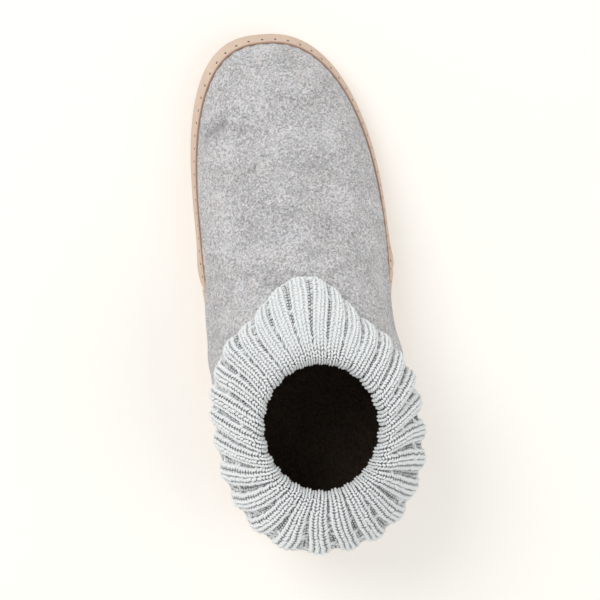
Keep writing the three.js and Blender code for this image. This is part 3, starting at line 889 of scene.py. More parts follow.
def laid_pad(name, bottom, edge, bottom_rows, top_rows, steps):
    """A closed pad: its bottom face from the middle line out, the rings of its edge and its top face back in.

    The bottom and each ring of the edge are an outline and a height.
    """
    rings = [(*bottom, share) for share in np.linspace(0, 1, bottom_rows)]
    rings += [(*ring, 1.0) for ring in edge]
    rings += [(*edge[-1], share) for share in np.linspace(1, 0, top_rows)[1:]]
    points = pad_points(rings, steps)
    return laid_grid(name, points, points[..., :2] * MM)


def add_wall(piece, thickness, lined=False):
    """Thickens a laid sheet inwards; a lined one has its second material inside and on its edges."""
    apply_modifier(
        piece, "SOLIDIFY", thickness=thickness, offset=-1.0,
        material_offset=int(lined), material_offset_rim=int(lined))


def ease_edges(piece, width):
    apply_modifier(
        piece, "BEVEL", width=width, segments=2, limit_method="ANGLE", angle_limit=math.radians(50))


def repeat(piece, steps):
    """Arrays a template; steps gives a count and an offset for each direction."""
    for count, offset in steps:
        apply_modifier(
            piece, "ARRAY", count=count, use_relative_offset=False, use_constant_offset=True,
            constant_offset_displace=offset)


def yarn_template(name, paths, radii, sides):
    """Short closed lengths of yarn, each a cylinder primitive drawn along a path of points."""
    lengths = []
    for path, radius in zip(np.array(paths), np.array(radii)):
        last = len(path) - 1
        bpy.ops.object.select_all(action="DESELECT")
        bpy.ops.mesh.primitive_cylinder_add(vertices=sides, radius=1.0, depth=2.0, end_fill_type="NGON")
        length = bpy.context.object
        with edit_mode(length):
            for cut in range(1, last):
                bpy.ops.mesh.select_all(action="SELECT")
                bpy.ops.mesh.bisect(plane_co=(0, 0, 2.0 * cut / last - 1.0), plane_no=(0, 0, 1))
        way = unit(np.gradient(path, axis=0))
        across = unit(np.cross(way, (0.0, 0.0, 1.0)))
        over = np.cross(across, way)
        local = mesh_points(length)
        ring = np.rint((local[:, 2] + 1.0) / 2.0 * last).astype(int)
        turned = local[:, :1] * across[ring] + local[:, 1:2] * over[ring]
        set_mesh_points(length, path[ring] + radius[ring, None] * turned)
        lengths.append(length)
    piece = joined(lengths, name)
    with edit_mode(piece):
        bpy.ops.mesh.normals_make_consistent(inside=False)
    return piece


def finish_piece(piece, materials, replaced=None):
    """Smooth shading, the materials that it hasn't yet and the piece's place in the frame."""
    pick_only(piece)
    bpy.ops.object.shade_smooth()
    for material in materials[len(piece.data.materials):]:
        piece.data.materials.append(material)
    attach(piece, "root")
    if replaced:
        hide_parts(replaced)
    return piece


# Shader nodes

class Nodes:
    """Adds nodes to a tree. What feeds a socket is a number, a colour or another node's output."""

    ROW, STEP, DROP = 8, 220.0, 340.0

    def __init__(self, tree):
        self.tree = tree

    def add(self, kind, **settings):
        """A new node with its settings, set out in rows in the order of making."""
        row, column = divmod(len(self.tree.nodes), self.ROW)
        node = self.tree.nodes.new(kind)
        node.location = (self.STEP * column, -self.DROP * row)
        for name, value in settings.items():
            setattr(node, name, value)
        return node

    def feed(self, node, values):
        """Feeds the sockets of a node, by name or by number."""
        for name, value in values.items():
            if isinstance(value, bpy.types.NodeSocket):
                self.tree.links.new(value, node.inputs[name])
            elif isinstance(value, (int, float)):
                node.inputs[name].default_value = value
            else:
                node.inputs[name].default_value = (*value, 1.0)

    def noise(self, vector, scale, detail, roughness, distortion=0.0):
        node = self.add("ShaderNodeTexNoise")
        self.feed(node, {"Vector": vector, "Scale": scale, "Detail": detail})
        self.feed(node, {"Roughness": roughness, "Distortion": distortion})
        return node.outputs["Fac"]

    def maths(self, operation, *values):
        node = self.add("ShaderNodeMath", operation=operation)
        self.feed(node, dict(enumerate(values)))
        return node.outputs[0]

    def plus(self, value, weight, rest):
        """Adds a value, times its weight, to the rest."""
        return self.maths("MULTIPLY_ADD", value, weight, rest)

    def away(self, value, middle):
        """How far a value lies from the middle, to either side."""
        return self.maths("ABSOLUTE", self.maths("SUBTRACT", value, middle))

    def spread(self, value, low, high, new_low=0.0, new_high=1.0, way="LINEAR"):
        """Maps low to high on new low to new high, and holds the ends."""
        node = self.add("ShaderNodeMapRange", interpolation_type=way)
        self.feed(node, {"Value": value, "From Min": low, "From Max": high})
        self.feed(node, {"To Min": new_low, "To Max": new_high})
        return node.outputs["Result"]

    def soft(self, value, low, high, new_low=0.0, new_high=1.0):
        """The same with eased ends."""
        return self.spread(value, low, high, new_low, new_high, "SMOOTHSTEP")

    def blend(self, share, first, second, way="MIX"):
        node = self.add("ShaderNodeMix", data_type="RGBA", blend_type=way)
        self.feed(node, {0: share, 6: first, 7: second})
        return node.outputs[2]

    def tint(self, share, first, second):
        return self.blend(share, first, second, "MULTIPLY")

    def axes(self, vector):
        node = self.add("ShaderNodeSeparateXYZ")
        self.feed(node, {0: vector})
        return node.outputs["X"], node.outputs["Y"]

    def attribute(self, name):
        return self.add("ShaderNodeAttribute", attribute_name=name).outputs["Fac"]

    def use(self, group, values):
        """Places a node group and gives its outputs."""
        node = self.add("ShaderNodeGroup", node_tree=group)
        self.feed(node, values)
        return node.outputs


class GroupNodes(Nodes):
    """The nodes of a new shader node group, with named inputs and outputs."""

    def __init__(self, name, inputs, outputs):
        super().__init__(bpy.data.node_groups.new(name, "ShaderNodeTree"))
        for label, kind in inputs.items():
            self.tree.interface.new_socket(name=label, in_out="INPUT", socket_type=kind)
        for label in outputs:
            self.tree.interface.new_socket(name=label, in_out="OUTPUT", socket_type="NodeSocketFloat")
        self.given = self.add("NodeGroupInput").outputs
        self.result = self.add("NodeGroupOutput")


class MaterialNodes(Nodes):
    """The nodes of a new material round its Principled shader."""

    def __init__(self, name):
        self.material = bpy.data.materials.new(name)
        self.material.use_nodes = True
        super().__init__(self.material.node_tree)
        self.shader = self.tree.nodes["Principled BSDF"]
        spot = self.add("ShaderNodeTexCoord")
        self.spot, self.marks = spot.outputs["Object"], spot.outputs["UV"]

    def bump(self, height, strength, distance):
        node = self.add("ShaderNodeBump")
        self.feed(node, {"Height": height, "Strength": strength, "Distance": distance})
        self.feed(self.shader, {"Normal": node.outputs["Normal"]})

    def sheen(self, weight, roughness, colour=(1.0, 1.0, 1.0)):
        self.feed(self.shader, {"Sheen Weight": weight, "Sheen Roughness": roughness, "Sheen Tint": colour})


def wool_group():
    """Heathered wool: a light and dark fleck with single strands, a drift of tint and a fibrous relief."""
    known = bpy.data.node_groups.get("Heather wool")
    if known:
        return known
    inputs = {"Vector": "NodeSocketVector", "Fleck": "NodeSocketFloat"}
    nodes = GroupNodes("Heather wool", inputs, ("Shade", "Tint", "Relief"))
    nodes.tree.interface.items_tree["Fleck"].default_value = 1.0
    scaled_spot = nodes.add("ShaderNodeVectorMath", operation="SCALE")
    nodes.feed(scaled_spot, {0: nodes.given["Vector"], "Scale": nodes.given["Fleck"]})
    where = scaled_spot.outputs[0]
    fleck = nodes.noise(where, 840.0, 3.0, 0.85, 0.3)
    clump = nodes.noise(where, 420.0, 2.0, 0.6, 0.3)
    drift = nodes.noise(where, 46.0, 3.0, 0.6)
    hue = nodes.noise(where, 110.0, 5.0, 0.9)
    fibre = nodes.noise(where, 1500.0, 4.0, 0.7, 1.8)
    curls = [nodes.noise(where, scale, 1.0, 0.5, 2.4) for scale in (430.0, 590.0)]
    pale_strand, dark_strand = [nodes.soft(nodes.away(curl, 0.5), 0.0, 0.035, 1.0, 0.0) for curl in curls]
    shade = nodes.plus(drift, 0.28, nodes.plus(clump, 0.4, fleck))
    shade = nodes.plus(pale_strand, 0.4, nodes.spread(shade, 0.67, 1.01))
    shade = nodes.spread(nodes.plus(dark_strand, -0.25, shade), 0.0, 1.0)
    relief = nodes.plus(clump, 0.9, nodes.plus(fibre, 0.6, fleck))
    relief = nodes.plus(pale_strand, 0.5, relief)
    nodes.feed(nodes.result, {"Shade": shade, "Tint": hue, "Relief": relief})
    return nodes.tree


def nap_group():
    """Suede nap: a fine grain, slow brushed patches, a shallow relief and a few dark specks."""
    known = bpy.data.node_groups.get("Suede nap")
    if known:
        return known
    nodes = GroupNodes("Suede nap", {"Vector": "NodeSocketVector"}, ("Grain", "Brush", "Relief", "Specks"))
    where = nodes.given["Vector"]
    grain = nodes.noise(where, 1100.0, 5.0, 0.75, 0.4)
    patch = nodes.noise(where, 95.0, 4.0, 0.6, 0.8)
    drift = nodes.noise(where, 22.0, 2.0, 0.5, 0.4)
    pore = nodes.noise(where, 420.0, 2.0, 0.6)
    nodes.feed(nodes.result, {
        "Grain": nodes.spread(grain, 0.3, 0.7),
        "Brush": nodes.spread(nodes.plus(drift, 0.6, patch), 0.5, 1.1),
        "Relief": nodes.plus(pore, 0.5, grain),
        "Specks": nodes.soft(pore, 0.72, 0.78),
    })
    return nodes.tree


# Materials

def scaled(colour, share):
    return tuple(min(1.0, part * share) for part in colour)


def felt_material(colour):
    """Heather grey felt, with painted shade in its deeper creases."""
    nodes = MaterialNodes("heather_felt")
    wool = nodes.use(wool_group(), {"Vector": nodes.spot, "Fleck": 1.25})
    grey = nodes.blend(wool["Shade"], scaled(colour, 0.53), scaled(colour, 1.58))
    hue = nodes.spread(wool["Tint"], 0.4, 0.6)
    heather = nodes.tint(1.0, grey, nodes.blend(hue, (1.02, 0.997, 0.985), (0.985, 1.0, 1.027)))
    nodes.feed(nodes.shader, {
        # Painted shade in the deeper creases, read from the attribute on the mesh
        "Base Color": nodes.tint(nodes.attribute("crease_shade"), heather, (0.76, 0.75, 0.76)),
        "Roughness": nodes.spread(wool["Shade"], 0.0, 1.0, 1.0, 0.88),
        "Specular IOR Level": 0.12,
    })
    nodes.sheen(0.25, 0.6)
    nodes.bump(wool["Relief"], 0.55, 0.0009)
    return nodes.material


def knit_material(colour, name="pale_yarn", lightness=1.0, ribs=0):
    """Pale wool yarn, with painted shade where it dives between stitches near the mouth and at the sides.

    The ground under the stitches, which is given the ribs, is painted in shade: darkest in their troughs, at
    the fold into the mouth and at the sides.
    """
    nodes = MaterialNodes(name)
    wool = nodes.use(wool_group(), {"Vector": nodes.spot, "Fleck": 1.3})
    grey = nodes.blend(wool["Shade"], scaled(colour, 0.95 * lightness), scaled(colour, 1.2 * lightness))
    turn, up = nodes.axes(nodes.marks)
    # Painted shade: yarn that dives deep is darkened near the mouth and at the sides of the cuff
    side = nodes.soft(nodes.away(turn, 0.5), 0.06, 0.19, 0.0, 0.6)
    shaded_at_mouth_and_sides = nodes.maths("MAXIMUM", nodes.soft(up, 0.58, 0.78), side)
    dive_shade = nodes.maths("MULTIPLY", nodes.attribute("sunk"), shaded_at_mouth_and_sides)
    grey = nodes.tint(dive_shade, grey, (0.3, 0.29, 0.28))
    # Painted shade on the ground: darkest in the troughs between ribs, at the fold into the mouth and at the
    # sides
    if ribs:
        phase = nodes.maths("FRACT", nodes.maths("MULTIPLY", turn, ribs))
        trough = nodes.soft(nodes.away(phase, 0.5), 0.35, 0.43)
        fold = nodes.soft(up, 0.62, 0.84)
        deep = nodes.maths("MAXIMUM", trough, nodes.maths("MAXIMUM", fold, side))
        grey = nodes.tint(deep, grey, (0.22, 0.22, 0.22))
    hue = nodes.spread(wool["Tint"], 0.4, 0.6)
    nodes.feed(nodes.shader, {
        "Base Color": nodes.tint(1.0, grey, nodes.blend(hue, (0.985, 1.0, 1.005), (0.965, 1.0, 1.03))),
        "Roughness": nodes.spread(wool["Shade"], 0.0, 1.0, 1.0, 0.85),
        "Specular IOR Level": 0.12,
    })
    nodes.sheen(0.6, 0.5)
    nodes.bump(wool["Relief"], 0.4, 0.0004)
    return nodes.material


def suede_nodes(name, colour):
    """A new suede material without its base colour: its nodes, its nap and its brushed colour."""
    nodes = MaterialNodes(name)
    nap = nodes.use(nap_group(), {"Vector": nodes.spot})
    grain = nodes.blend(nap["Grain"], scaled(colour, 0.86), scaled(colour, 1.1))
    shaded = nodes.tint(1.0, grain, nodes.blend(nap["Brush"], (0.93, 0.9, 0.88), (1.05, 1.05, 1.04)))
    nodes.feed(nodes.shader, {
        "Roughness": nodes.spread(nap["Brush"], 0.0, 1.0, 1.0, 0.86),
        "Specular IOR Level": 0.15,
    })
    nodes.sheen(0.03, 0.5, (1.0, 0.9, 0.8))
    return nodes, nap, nodes.blend(nap["Specks"], shaded, scaled(colour, 0.7))


def sole_material(colour):
    nodes, nap, shaded = suede_nodes("sole_nap", colour)
    nodes.feed(nodes.shader, {"Base Color": shaded})
    nodes.bump(nap["Relief"], 0.45, 0.0005)
    return nodes.material


def band_material(colour, pitch, line):
    """Suede with painted shade in its needle holes and a darker top edge: the UV map runs along the band's
    top edge and down from it, in metres.
    """
    nodes, nap, shaded = suede_nodes("band_nap", colour)
    run, down = nodes.axes(nodes.marks)
    # Needle holes painted dark: painted shade in each hole, which is otherwise only a dent in the bump
    phase = nodes.maths("FRACT", nodes.maths("DIVIDE", run, pitch))
    beside = nodes.maths("MULTIPLY", nodes.maths("SUBTRACT", phase, 0.5), pitch)
    below = nodes.maths("SUBTRACT", down, line)
    squares = [nodes.maths("MULTIPLY", part, part) for part in (beside, below)]
    hole = nodes.soft(nodes.maths("SQRT", nodes.maths("ADD", *squares)), 0.0004, 0.0008, 1.0, 0.0)
    # The top edge is darker: partly the cut edge's own colour, partly painted shade where it stands proud of
    # the felt
    raw_edge_and_shade = nodes.soft(down, 0.0002, 0.0015, 1.0, 0.0)
    edge = nodes.blend(raw_edge_and_shade, shaded, [part * share for part, share in zip(colour, (0.6, 0.5, 0.47))])
    nodes.feed(nodes.shader, {"Base Color": nodes.blend(hole, edge, scaled(colour, 0.22))})
    nodes.bump(nodes.plus(hole, -1.6, nap["Relief"]), 0.45, 0.0005)
    return nodes.material


def thread_material(colour):
    nodes = MaterialNodes("sewing_thread")
    ply = nodes.noise(nodes.spot, 1800.0, 2.0, 0.5)
    nodes.feed(nodes.shader, {"Base Color": nodes.blend(ply, scaled(colour, 0.9), colour), "Roughness": 0.7})
    nodes.bump(ply, 0.3, 0.0002)
    return nodes.material


def lining_material(colour):
    nodes = MaterialNodes("dark_felt")
    wool = nodes.use(wool_group(), {"Vector": nodes.spot, "Fleck": 0.9})
    nodes.feed(nodes.shader, {
        "Base Color": nodes.blend(wool["Shade"], scaled(colour, 0.6), scaled(colour, 1.3)),
        "Roughness": nodes.spread(wool["Shade"], 0.0, 1.0, 1.0, 0.9),
        "Specular IOR Level": 0.05,
    })
    nodes.bump(wool["Relief"], 0.5, 0.0008)
    return nodes.material


def floor_material(colour):
    """A pale floor with a slight glow, because the studio is close to shadowless."""
    nodes = MaterialNodes("studio_floor")
    drift = nodes.noise(nodes.spot, 3.0, 2.0, 0.5)
    nodes.feed(nodes.shader, {
        "Base Color": nodes.blend(drift, scaled(colour, 0.99), colour),
        "Roughness": 0.95,
        "Specular IOR Level": 0.1,
        "Emission Color": tone(255, 252, 246),
        "Emission Strength": FLOOR_GLOW,
    })
    return nodes.material


def known_material(name, make, *values):
    return bpy.data.materials.get(name) or make(*values)


# Operators, one for each piece or group of like pieces

class SLIPPER_OT_stage(bpy.types.Operator):
    """Lay the pale floor, set the soft lights and aim the camera"""

    bl_idname = "slipper.stage"
    bl_label = "Stage"

    def execute(self, context):
        scene = context.scene
        bpy.ops.object.select_all(action="DESELECT")
        bpy.ops.mesh.primitive_plane_add(size=FLOOR_SIZE, location=(0, 0, -FLOOR_DROP))
        floor = context.object
        floor.name = floor.data.name = "studio_floor"
        floor.data.materials.append(floor_material(scene.slipper_colours.floor))
        self.set_world(scene)
        for light in LIGHTS:
            self.add_soft_light(**light)
        self.aim_camera(scene)
        scene.view_settings.view_transform = "Standard"
        return {"FINISHED"}

    @staticmethod
    def set_world(scene):
        world = bpy.data.worlds.new("studio")
        world.use_nodes = True
        backdrop = world.node_tree.nodes["Background"]
        backdrop.inputs["Color"].default_value = (*tone(252, 250, 246), 1.0)
        backdrop.inputs["Strength"].default_value = WORLD_STRENGTH
        scene.world = world

    @staticmethod
    def add_soft_light(name, place, size, power, colour):
        bpy.ops.object.light_add(type="AREA", location=place)
        light = bpy.context.object
        light.name = light.data.name = name
        light.data.shape = "DISK"
        light.data.size = size
        light.data.energy = power
        light.data.color = colour
        light.rotation_euler = (LIGHT_AIM - Vector(place)).to_track_quat("-Z", "Y").to_euler()

    @staticmethod
    def aim_camera(scene):
        """The camera is over the inner side and looks down on the shoe, with its toe up and to the left."""
        eye, aim = Vector(framed(CAMERA_EYE)), Vector(framed(CAMERA_AIM))
        forward = (aim - eye).normalized()
        right = forward.cross(Vector((math.sin(CAMERA_LEAN), math.cos(CAMERA_LEAN), 0.0))).normalized()
        up = right.cross(forward)
        bpy.ops.object.camera_add(location=eye)
        camera = bpy.context.object
        camera.name = camera.data.name = "photo_camera"
        camera.rotation_euler = Matrix((right, up, -forward)).transposed().to_euler()
        camera.data.sensor_width = CAMERA_SENSOR
        camera.data.lens = CAMERA_LENS
        camera.data.clip_start, camera.data.clip_end = 0.01, 50.0
        scene.camera = camera


class SLIPPER_OT_sole(bpy.types.Operator):
    """Make the suede sole panel with its turned edge"""

    bl_idname = "slipper.sole"
    bl_label = "Sole panel"

    def execute(self, context):
        edge = []
        for angle in np.linspace(0, math.pi / 2, 7)[1:]:
            height = SOLE_TURN_HEIGHT * (1 - math.cos(angle))
            edge.append((inset(PANEL, SOLE_TURN * (1 - math.sin(angle))), height))
        edge += [(inset(PANEL, drawn_in), height) for drawn_in, height in SOLE_SHOULDER]
        bottom = (inset(PANEL, SOLE_TURN), 0.0)
        piece = laid_pad("sole_panel", bottom, edge, bottom_rows=12, top_rows=8, steps=120)
        material = known_material("sole_nap", sole_material, context.scene.slipper_colours.sole)
        finish_piece(piece, [material], "outsole")
        return {"FINISHED"}


class SLIPPER_OT_insole(bpy.types.Operator):
    """Make the dark felt pad that the foot stands on"""

    bl_idname = "slipper.insole"
    bl_label = "Insole"

    def execute(self, context):
        bottom = (inset(PANEL, INSOLE_INSET), SOLE_THICKNESS + INSOLE_LIFT)
        inside = inset(BAND, FELT_INSET + INSOLE_CLEAR)
        edge = [(inset(inside, drawn_in), height) for drawn_in, height in INSOLE_SHOULDER]
        piece = laid_pad("insole_pad", bottom, edge, bottom_rows=8, top_rows=12, steps=90)
        material = known_material("dark_felt", lining_material, context.scene.slipper_colours.lining)
        finish_piece(piece, [material], "insole")
        return {"FINISHED"}


class SLIPPER_OT_bands(bpy.types.Operator):
    """Make the two lengths of suede sidewall band"""

    bl_idname = "slipper.bands"
    bl_label = "Sidewall band"

    def execute(self, context):
        sizes, colours = context.scene.slipper_sizes, context.scene.slipper_colours
        holes = (sizes.stitch_pitch, sizes.stitch_inset)
        material = known_material("band_nap", band_material, colours.band, *holes)
        for part in ("fore", "rear"):
            piece = laid_grid("band_" + part + "_suede", *band_run(part))
            add_wall(piece, sizes.suede_thickness)
            ease_edges(piece, BAND_EDGE_ROUND * MM)
            finish_piece(piece, [material], "band_" + part)
        return {"FINISHED"}


class SLIPPER_OT_stitching(bpy.types.Operator):
    """Sew the thread along the band's top edge, down its two seams and round the sole seam"""

    bl_idname = "slipper.stitching"
    bl_label = "Stitching"

    def execute(self, context):
        sizes, colours = context.scene.slipper_sizes, context.scene.slipper_colours
        pitch, line = sizes.stitch_pitch / MM, sizes.stitch_inset / MM
        radius = sizes.thread_thickness / MM / 2
        rows = [self.edge_run(*band_run(part), pitch, line, radius) for part in ("fore", "rear")]
        rows += [self.seam_run(side, radius * SEAM_THREAD_SHARE) for side in SIDE_SIGN]
        rows.append(self.sole_run(radius * SEAM_THREAD_SHARE))
        material = known_material("sewing_thread", thread_material, colours.band)
        finish_piece(joined(rows, "band_stitching"), [material])
        return {"FINISHED"}

    @staticmethod
    def stitch(length, radius):
        """One stitch, lying along x, thinner and dipping at both ends."""
        steps = np.linspace(-1, 1, 5)
        ends = np.abs(steps) ** 3
        path = np.stack([steps * length / 2, 0.0 * steps, -STITCH_SINK - STITCH_DIP * ends], -1)
        return yarn_template("stitch", [path], [radius * (1.0 - STITCH_TAPER * ends)], 6)

    def sew_along(self, line, out, radius, pitch, length, margin=0.0, near=0.3):
        """Stitches in a row along a line of points, with out as the outward direction at each point."""
        runs = run_lengths(line)
        piece = self.stitch(length, radius)
        repeat(piece, [(int((runs[-1] - 2 * margin) / pitch), (pitch, 0, 0))])
        local = mesh_points(piece)
        where = local[:, 0] + margin + pitch / 2
        way = unit(spaced(line, where + near) - spaced(line, where - near))
        normal = read_line(out, runs, where)
        normal = unit(normal - way * np.sum(normal * way, axis=1, keepdims=True))
        points = spaced(line, where) + np.cross(normal, way) * local[:, 1:2] + normal * local[:, 2:3]
        set_mesh_points(piece, framed(points))
        return piece

    def edge_run(self, points, marks, pitch, line, radius):
        """Stitches between the needle holes along the top edge of one length of band."""
        marks = marks / MM
        columns = list(zip(points, sheet_normals(points), marks[..., 1]))
        spots = np.array([read_line(column[::-1], down[::-1], line) for column, _, down in columns])
        outs = np.array([read_line(out[::-1], down[::-1], line) for _, out, down in columns])
        stretched = pitch * run_lengths(spots)[-1] / marks[-1, -1, 0]
        length = pitch * EDGE_STITCH_SHARE
        return self.sew_along(spots, outs, radius, stretched, length, margin=stretched / 2)

    def seam_run(self, side, radius):
        """A row of small stitches down one butted seam of the band."""
        column = band_lines([(side, SEAM_SHARE, 0.5)])[0][3:]
        out = np.tile([SIDE_SIGN[side], 0.0, 0.0], (len(column), 1))
        sunk, row = column - out * SEAM_STITCH["sunk"], SEAM_STITCH
        return self.sew_along(sunk, out, radius, row["pitch"], row["length"], row["margin"])

    def sole_run(self, radius):
        """Small stitches sunk in the seam between band and sole panel, facing out and down."""
        row, outline = SOLE_STITCH, inset(PANEL, -SOLE_STITCH["outset"])
        spots = np.array([placed(outline_point(outline, side, share), BAND_FOOT + row["rise"])
                          for side, share, _ in round_stations(*BAND_STATIONS)])
        ring = spots[:-1]
        out = unit(np.cross(np.roll(ring, -1, 0) - np.roll(ring, 1, 0), (0.0, 0.0, 1.0)))
        out = np.concatenate([out, out[:1]]) * row["out"] - np.array([0.0, 0.0, row["down"]])
        return self.sew_along(spots, out, radius, row["pitch"], row["length"])


class SLIPPER_OT_upper(bpy.types.Operator):
    """Make the felt upper with its dark lining"""

    bl_idname = "slipper.upper"
    bl_label = "Felt upper"

    def execute(self, context):
        sizes, colours = context.scene.slipper_sizes, context.scene.slipper_colours
        piece = laid_grid("felt_upper", *felt_sheet(sizes.stitch_pitch / MM))
        felt = known_material("heather_felt", felt_material, colours.felt)
        lining = known_material("dark_felt", lining_material, colours.lining)
        piece.data.materials.append(felt)
        piece.data.materials.append(lining)
        add_wall(piece, sizes.felt_thickness, lined=True)
        finish_piece(piece, [felt, lining], "upper")
        return {"FINISHED"}


class SLIPPER_OT_cuff(bpy.types.Operator):
    """Knit the ribbed cuff: its soft body, the stitches of its ribs and troughs and its hem"""

    bl_idname = "slipper.cuff"
    bl_label = "Knit cuff"

    def execute(self, context):
        sizes, colours = context.scene.slipper_sizes, context.scene.slipper_colours
        self.form = CuffForm(sizes.ribs, sizes.rib_depth / MM)
        self.courses = sizes.courses
        yarn = known_material("pale_yarn", knit_material, colours.knit)
        # Painted shade: the body under the stitches, and the purl and hem stitches, wear copies of the yarn
        # painted darker, so gaps and troughs read dark
        ground = known_material(
            "yarn_in_shade", knit_material, colours.knit, "yarn_in_shade", GROUND_SHADE_LIGHTNESS, sizes.ribs)
        purl = known_material(
            "yarn_in_trough", knit_material, colours.knit, "yarn_in_trough", PURL_SHADE_LIGHTNESS)
        finish_piece(self.body(), [ground], "cuff")
        finish_piece(self.knit_stitches(sizes.ribs * 2), [yarn])
        finish_piece(self.purl_stitches(sizes.ribs * 2), [purl])
        finish_piece(self.hem_stitches(sizes.ribs * 4), [purl])
        return {"FINISHED"}

    def body(self, rib_columns=14, face_rows=64, back_rows=14, back_low=0.05, last_mark=2.1):
        """The body under the stitches: the ribbed face from hem to mouth and the smooth face on the felt.

        Its marks run from 0 at the hem to 1 in the mouth, and on down the felt to the hem again.
        """
        columns = self.form.ribs * rib_columns
        turns = np.arange(columns + 1) / columns
        face_up, back_up = np.linspace(0, 1, face_rows), np.linspace(1, back_low, back_rows)
        face = self.form.ribbed(*np.meshgrid(turns, face_up, indexing="ij"), sunk=BODY_SUNK)
        back = self.form.sample(self.form.under, *np.meshgrid(turns, back_up, indexing="ij"))
        points = np.concatenate([face, back, face[:, :1]], 1)
        points[-1] = points[0]
        marks_up = np.concatenate([face_up, 2.0 - back_up, [last_mark]])
        return laid_grid("cuff_body", points, np.stack(np.meshgrid(turns, marks_up, indexing="ij"), -1))

    def drawn(self, turn, up):
        """Courses drawn out on the turned-down face and closer together inside the mouth."""
        return up + self.form.read_relief("drawn", turn) * np.sin(math.pi * np.clip(up, 0.0, 1.0))

    def rib_turn(self, wale, up):
        """Where a place among the ribs' wales lies on the cuff."""
        rib = np.floor(wale / 2.0)
        inside = wale / 2.0 - rib
        turn = (rib + 0.5 + (inside - 0.5) * np.interp(up, *RIB_FILL)) / self.form.ribs
        return turn, self.drawn(turn, up)

    def trough_turn(self, wale, up):
        """Where a place among the troughs' wales lies; every second wale is half a course higher."""
        trough = np.floor(wale / 2.0)
        inside = wale / 2.0 - trough
        turn = (trough + 1.0 + (inside - 0.5) * (1.0 - np.interp(up, *RIB_FILL))) / self.form.ribs
        return turn, self.drawn(turn, up + np.where(inside < 0.5, 0.0, 0.5 / self.courses))

    def knit_in(self, name, stitch, width, start, rows, courses, locate, seed):
        """Fits a stitch to one wale by one course, repeats it in rows and lays the rows on the cuff.

        A stitch is its paths, their radii and the sides of its yarn. Until it is laid, x counts wales, y
        counts courses and z is a height in millimetres. Each copy strays a little.
        """
        piece = yarn_template(name, *stitch)
        set_mesh_points(piece, mesh_points(piece) / (width, COURSE_HEIGHT, 1.0) + (*start, 0.0))
        vertices = len(piece.data.vertices)
        repeat(piece, rows)
        local = mesh_points(piece)
        copy = np.arange(len(local)) // vertices
        local = local + np.random.default_rng(seed).normal(0.0, 1.0, (copy.max() + 1, 3))[copy] * STRAY
        turn, up = locate(local[:, 0], local[:, 1] / courses)
        flatter = np.where(local[:, 2] < 0, mix(1.0, MOUTH_DIVE, ease(MOUTH_FROM, MOUTH_TO, up)), 1.0)
        set_mesh_points(piece, framed(self.form.knitted(turn, up, local[:, 2] * flatter)))
        set_marks(piece, np.stack([turn, up], -1))
        # Painted shade: a share for each vertex, greater the deeper its yarn dives
        set_shares(piece, "sunk", 1.0 - ease(DIVE_DEEP, DIVE_HIGH, local[:, 2]))
        return piece

    def knit_stitches(self, wales):
        """Columns of V stitches, two to a rib."""
        leg, steps = KNIT_LEG, np.linspace(0, 1, 5)
        arch = np.sin(math.pi * steps)
        across, rise = leg["apart"] + leg["reach"] * steps, leg["foot"] + leg["rise"] * steps
        height = leg["deep"] + leg["arch"] * arch
        legs = [np.stack([side * across, rise, height], -1) for side in (-1, 1)]
        stitch = (legs, [leg["thin"] + leg["fuller"] * arch] * 2, 6)
        rows = [(self.courses, (0, 1, 0)), (wales, (1, 0, 0))]
        place = (KNIT_WIDTH, (0.5, 0.0), rows, self.courses, self.rib_turn)
        return self.knit_in("cuff_knit", stitch, *place, seed=5)

    @staticmethod
    def yarn_bump(row, count, sides):
        """A stitch of one short length of yarn that dives and thins towards both ends."""
        steps = np.linspace(-1, 1, count)
        rise = row["slant"] * steps + row["curl"] * steps**2
        path = np.stack([row["reach"] * steps, rise, row["high"] - row["dive"] * steps**2], -1)
        return [path], [row["thick"] - row["taper"] * steps**2], sides

    def purl_stitches(self, wales):
        """Purl bumps in the troughs, half hidden by the ribs."""
        rows = [(int(self.courses * PURL_REACH), (0, 1, 0)), (wales, (1, 0, 0))]
        place = (PURL_WIDTH, (0.5, 0.5), rows, self.courses, self.trough_turn)
        return self.knit_in("cuff_purl", self.yarn_bump(PURL_BUMP, 4, 5), *place, seed=6)

    def hem_stitches(self, count):
        """The cast-off edge: a chain of slanted stitches along the hem."""
        def hem_turn(link, up):
            return link / count, up - HEM_DOWN

        place = (HEM_WIDTH, (0.5, 0.0), [(count, (1, 0, 0))], HEM_COURSES, hem_turn)
        return self.knit_in("cuff_hem", self.yarn_bump(HEM_LINK, 5, 6), *place, seed=7)


class SLIPPER_PT_pieces(bpy.types.Panel):
    """The slipper's pieces, sizes and colours in the sidebar"""

    bl_idname = "SLIPPER_PT_pieces"
    bl_label = "Felt Slipper Boot"
    bl_space_type = "VIEW_3D"
    bl_region_type = "UI"
    bl_category = "Slipper"

    def draw(self, context):
        for group in (context.scene.slipper_sizes, context.scene.slipper_colours):
            box = self.layout.box()
            for name in group.__annotations__:
                box.prop(group, name)
        for operator in OPERATORS:
            self.layout.operator(operator.bl_idname)


OPERATORS = (
    SLIPPER_OT_stage,
    SLIPPER_OT_sole,
    SLIPPER_OT_insole,
    SLIPPER_OT_bands,
    SLIPPER_OT_stitching,
    SLIPPER_OT_upper,
    SLIPPER_OT_cuff,
)
CLASSES = (SlipperSizes, SlipperColours, *OPERATORS, SLIPPER_PT_pieces)


def register():
    for cls in CLASSES:
        bpy.utils.register_class(cls)
    bpy.types.Scene.slipper_sizes = bpy.props.PointerProperty(type=SlipperSizes)
    bpy.types.Scene.slipper_colours = bpy.props.PointerProperty(type=SlipperColours)


def unregister():
    del bpy.types.Scene.slipper_colours
    del bpy.types.Scene.slipper_sizes
    for cls in reversed(CLASSES):
        bpy.utils.unregister_class(cls)


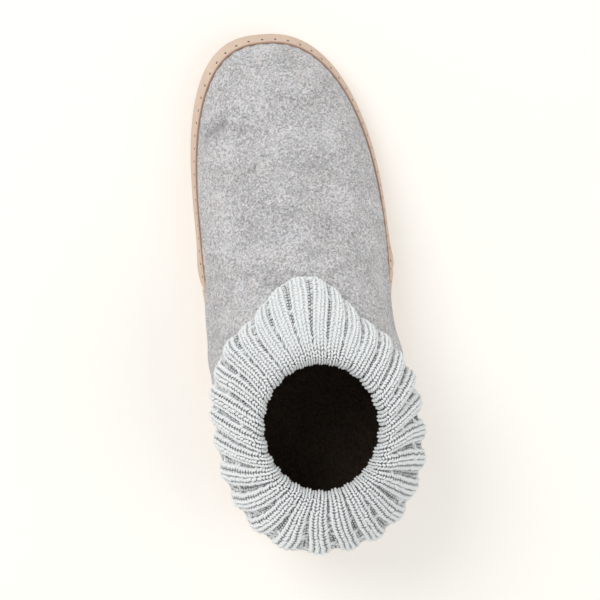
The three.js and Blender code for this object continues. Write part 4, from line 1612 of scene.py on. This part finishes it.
def main():
    register()
    bpy.ops.slipper.stage()
    bpy.ops.slipper.sole()
    bpy.ops.slipper.insole()
    bpy.ops.slipper.bands()
    bpy.ops.slipper.stitching()
    bpy.ops.slipper.upper()
    bpy.ops.slipper.cuff()


if __name__ == "__main__":
    main()
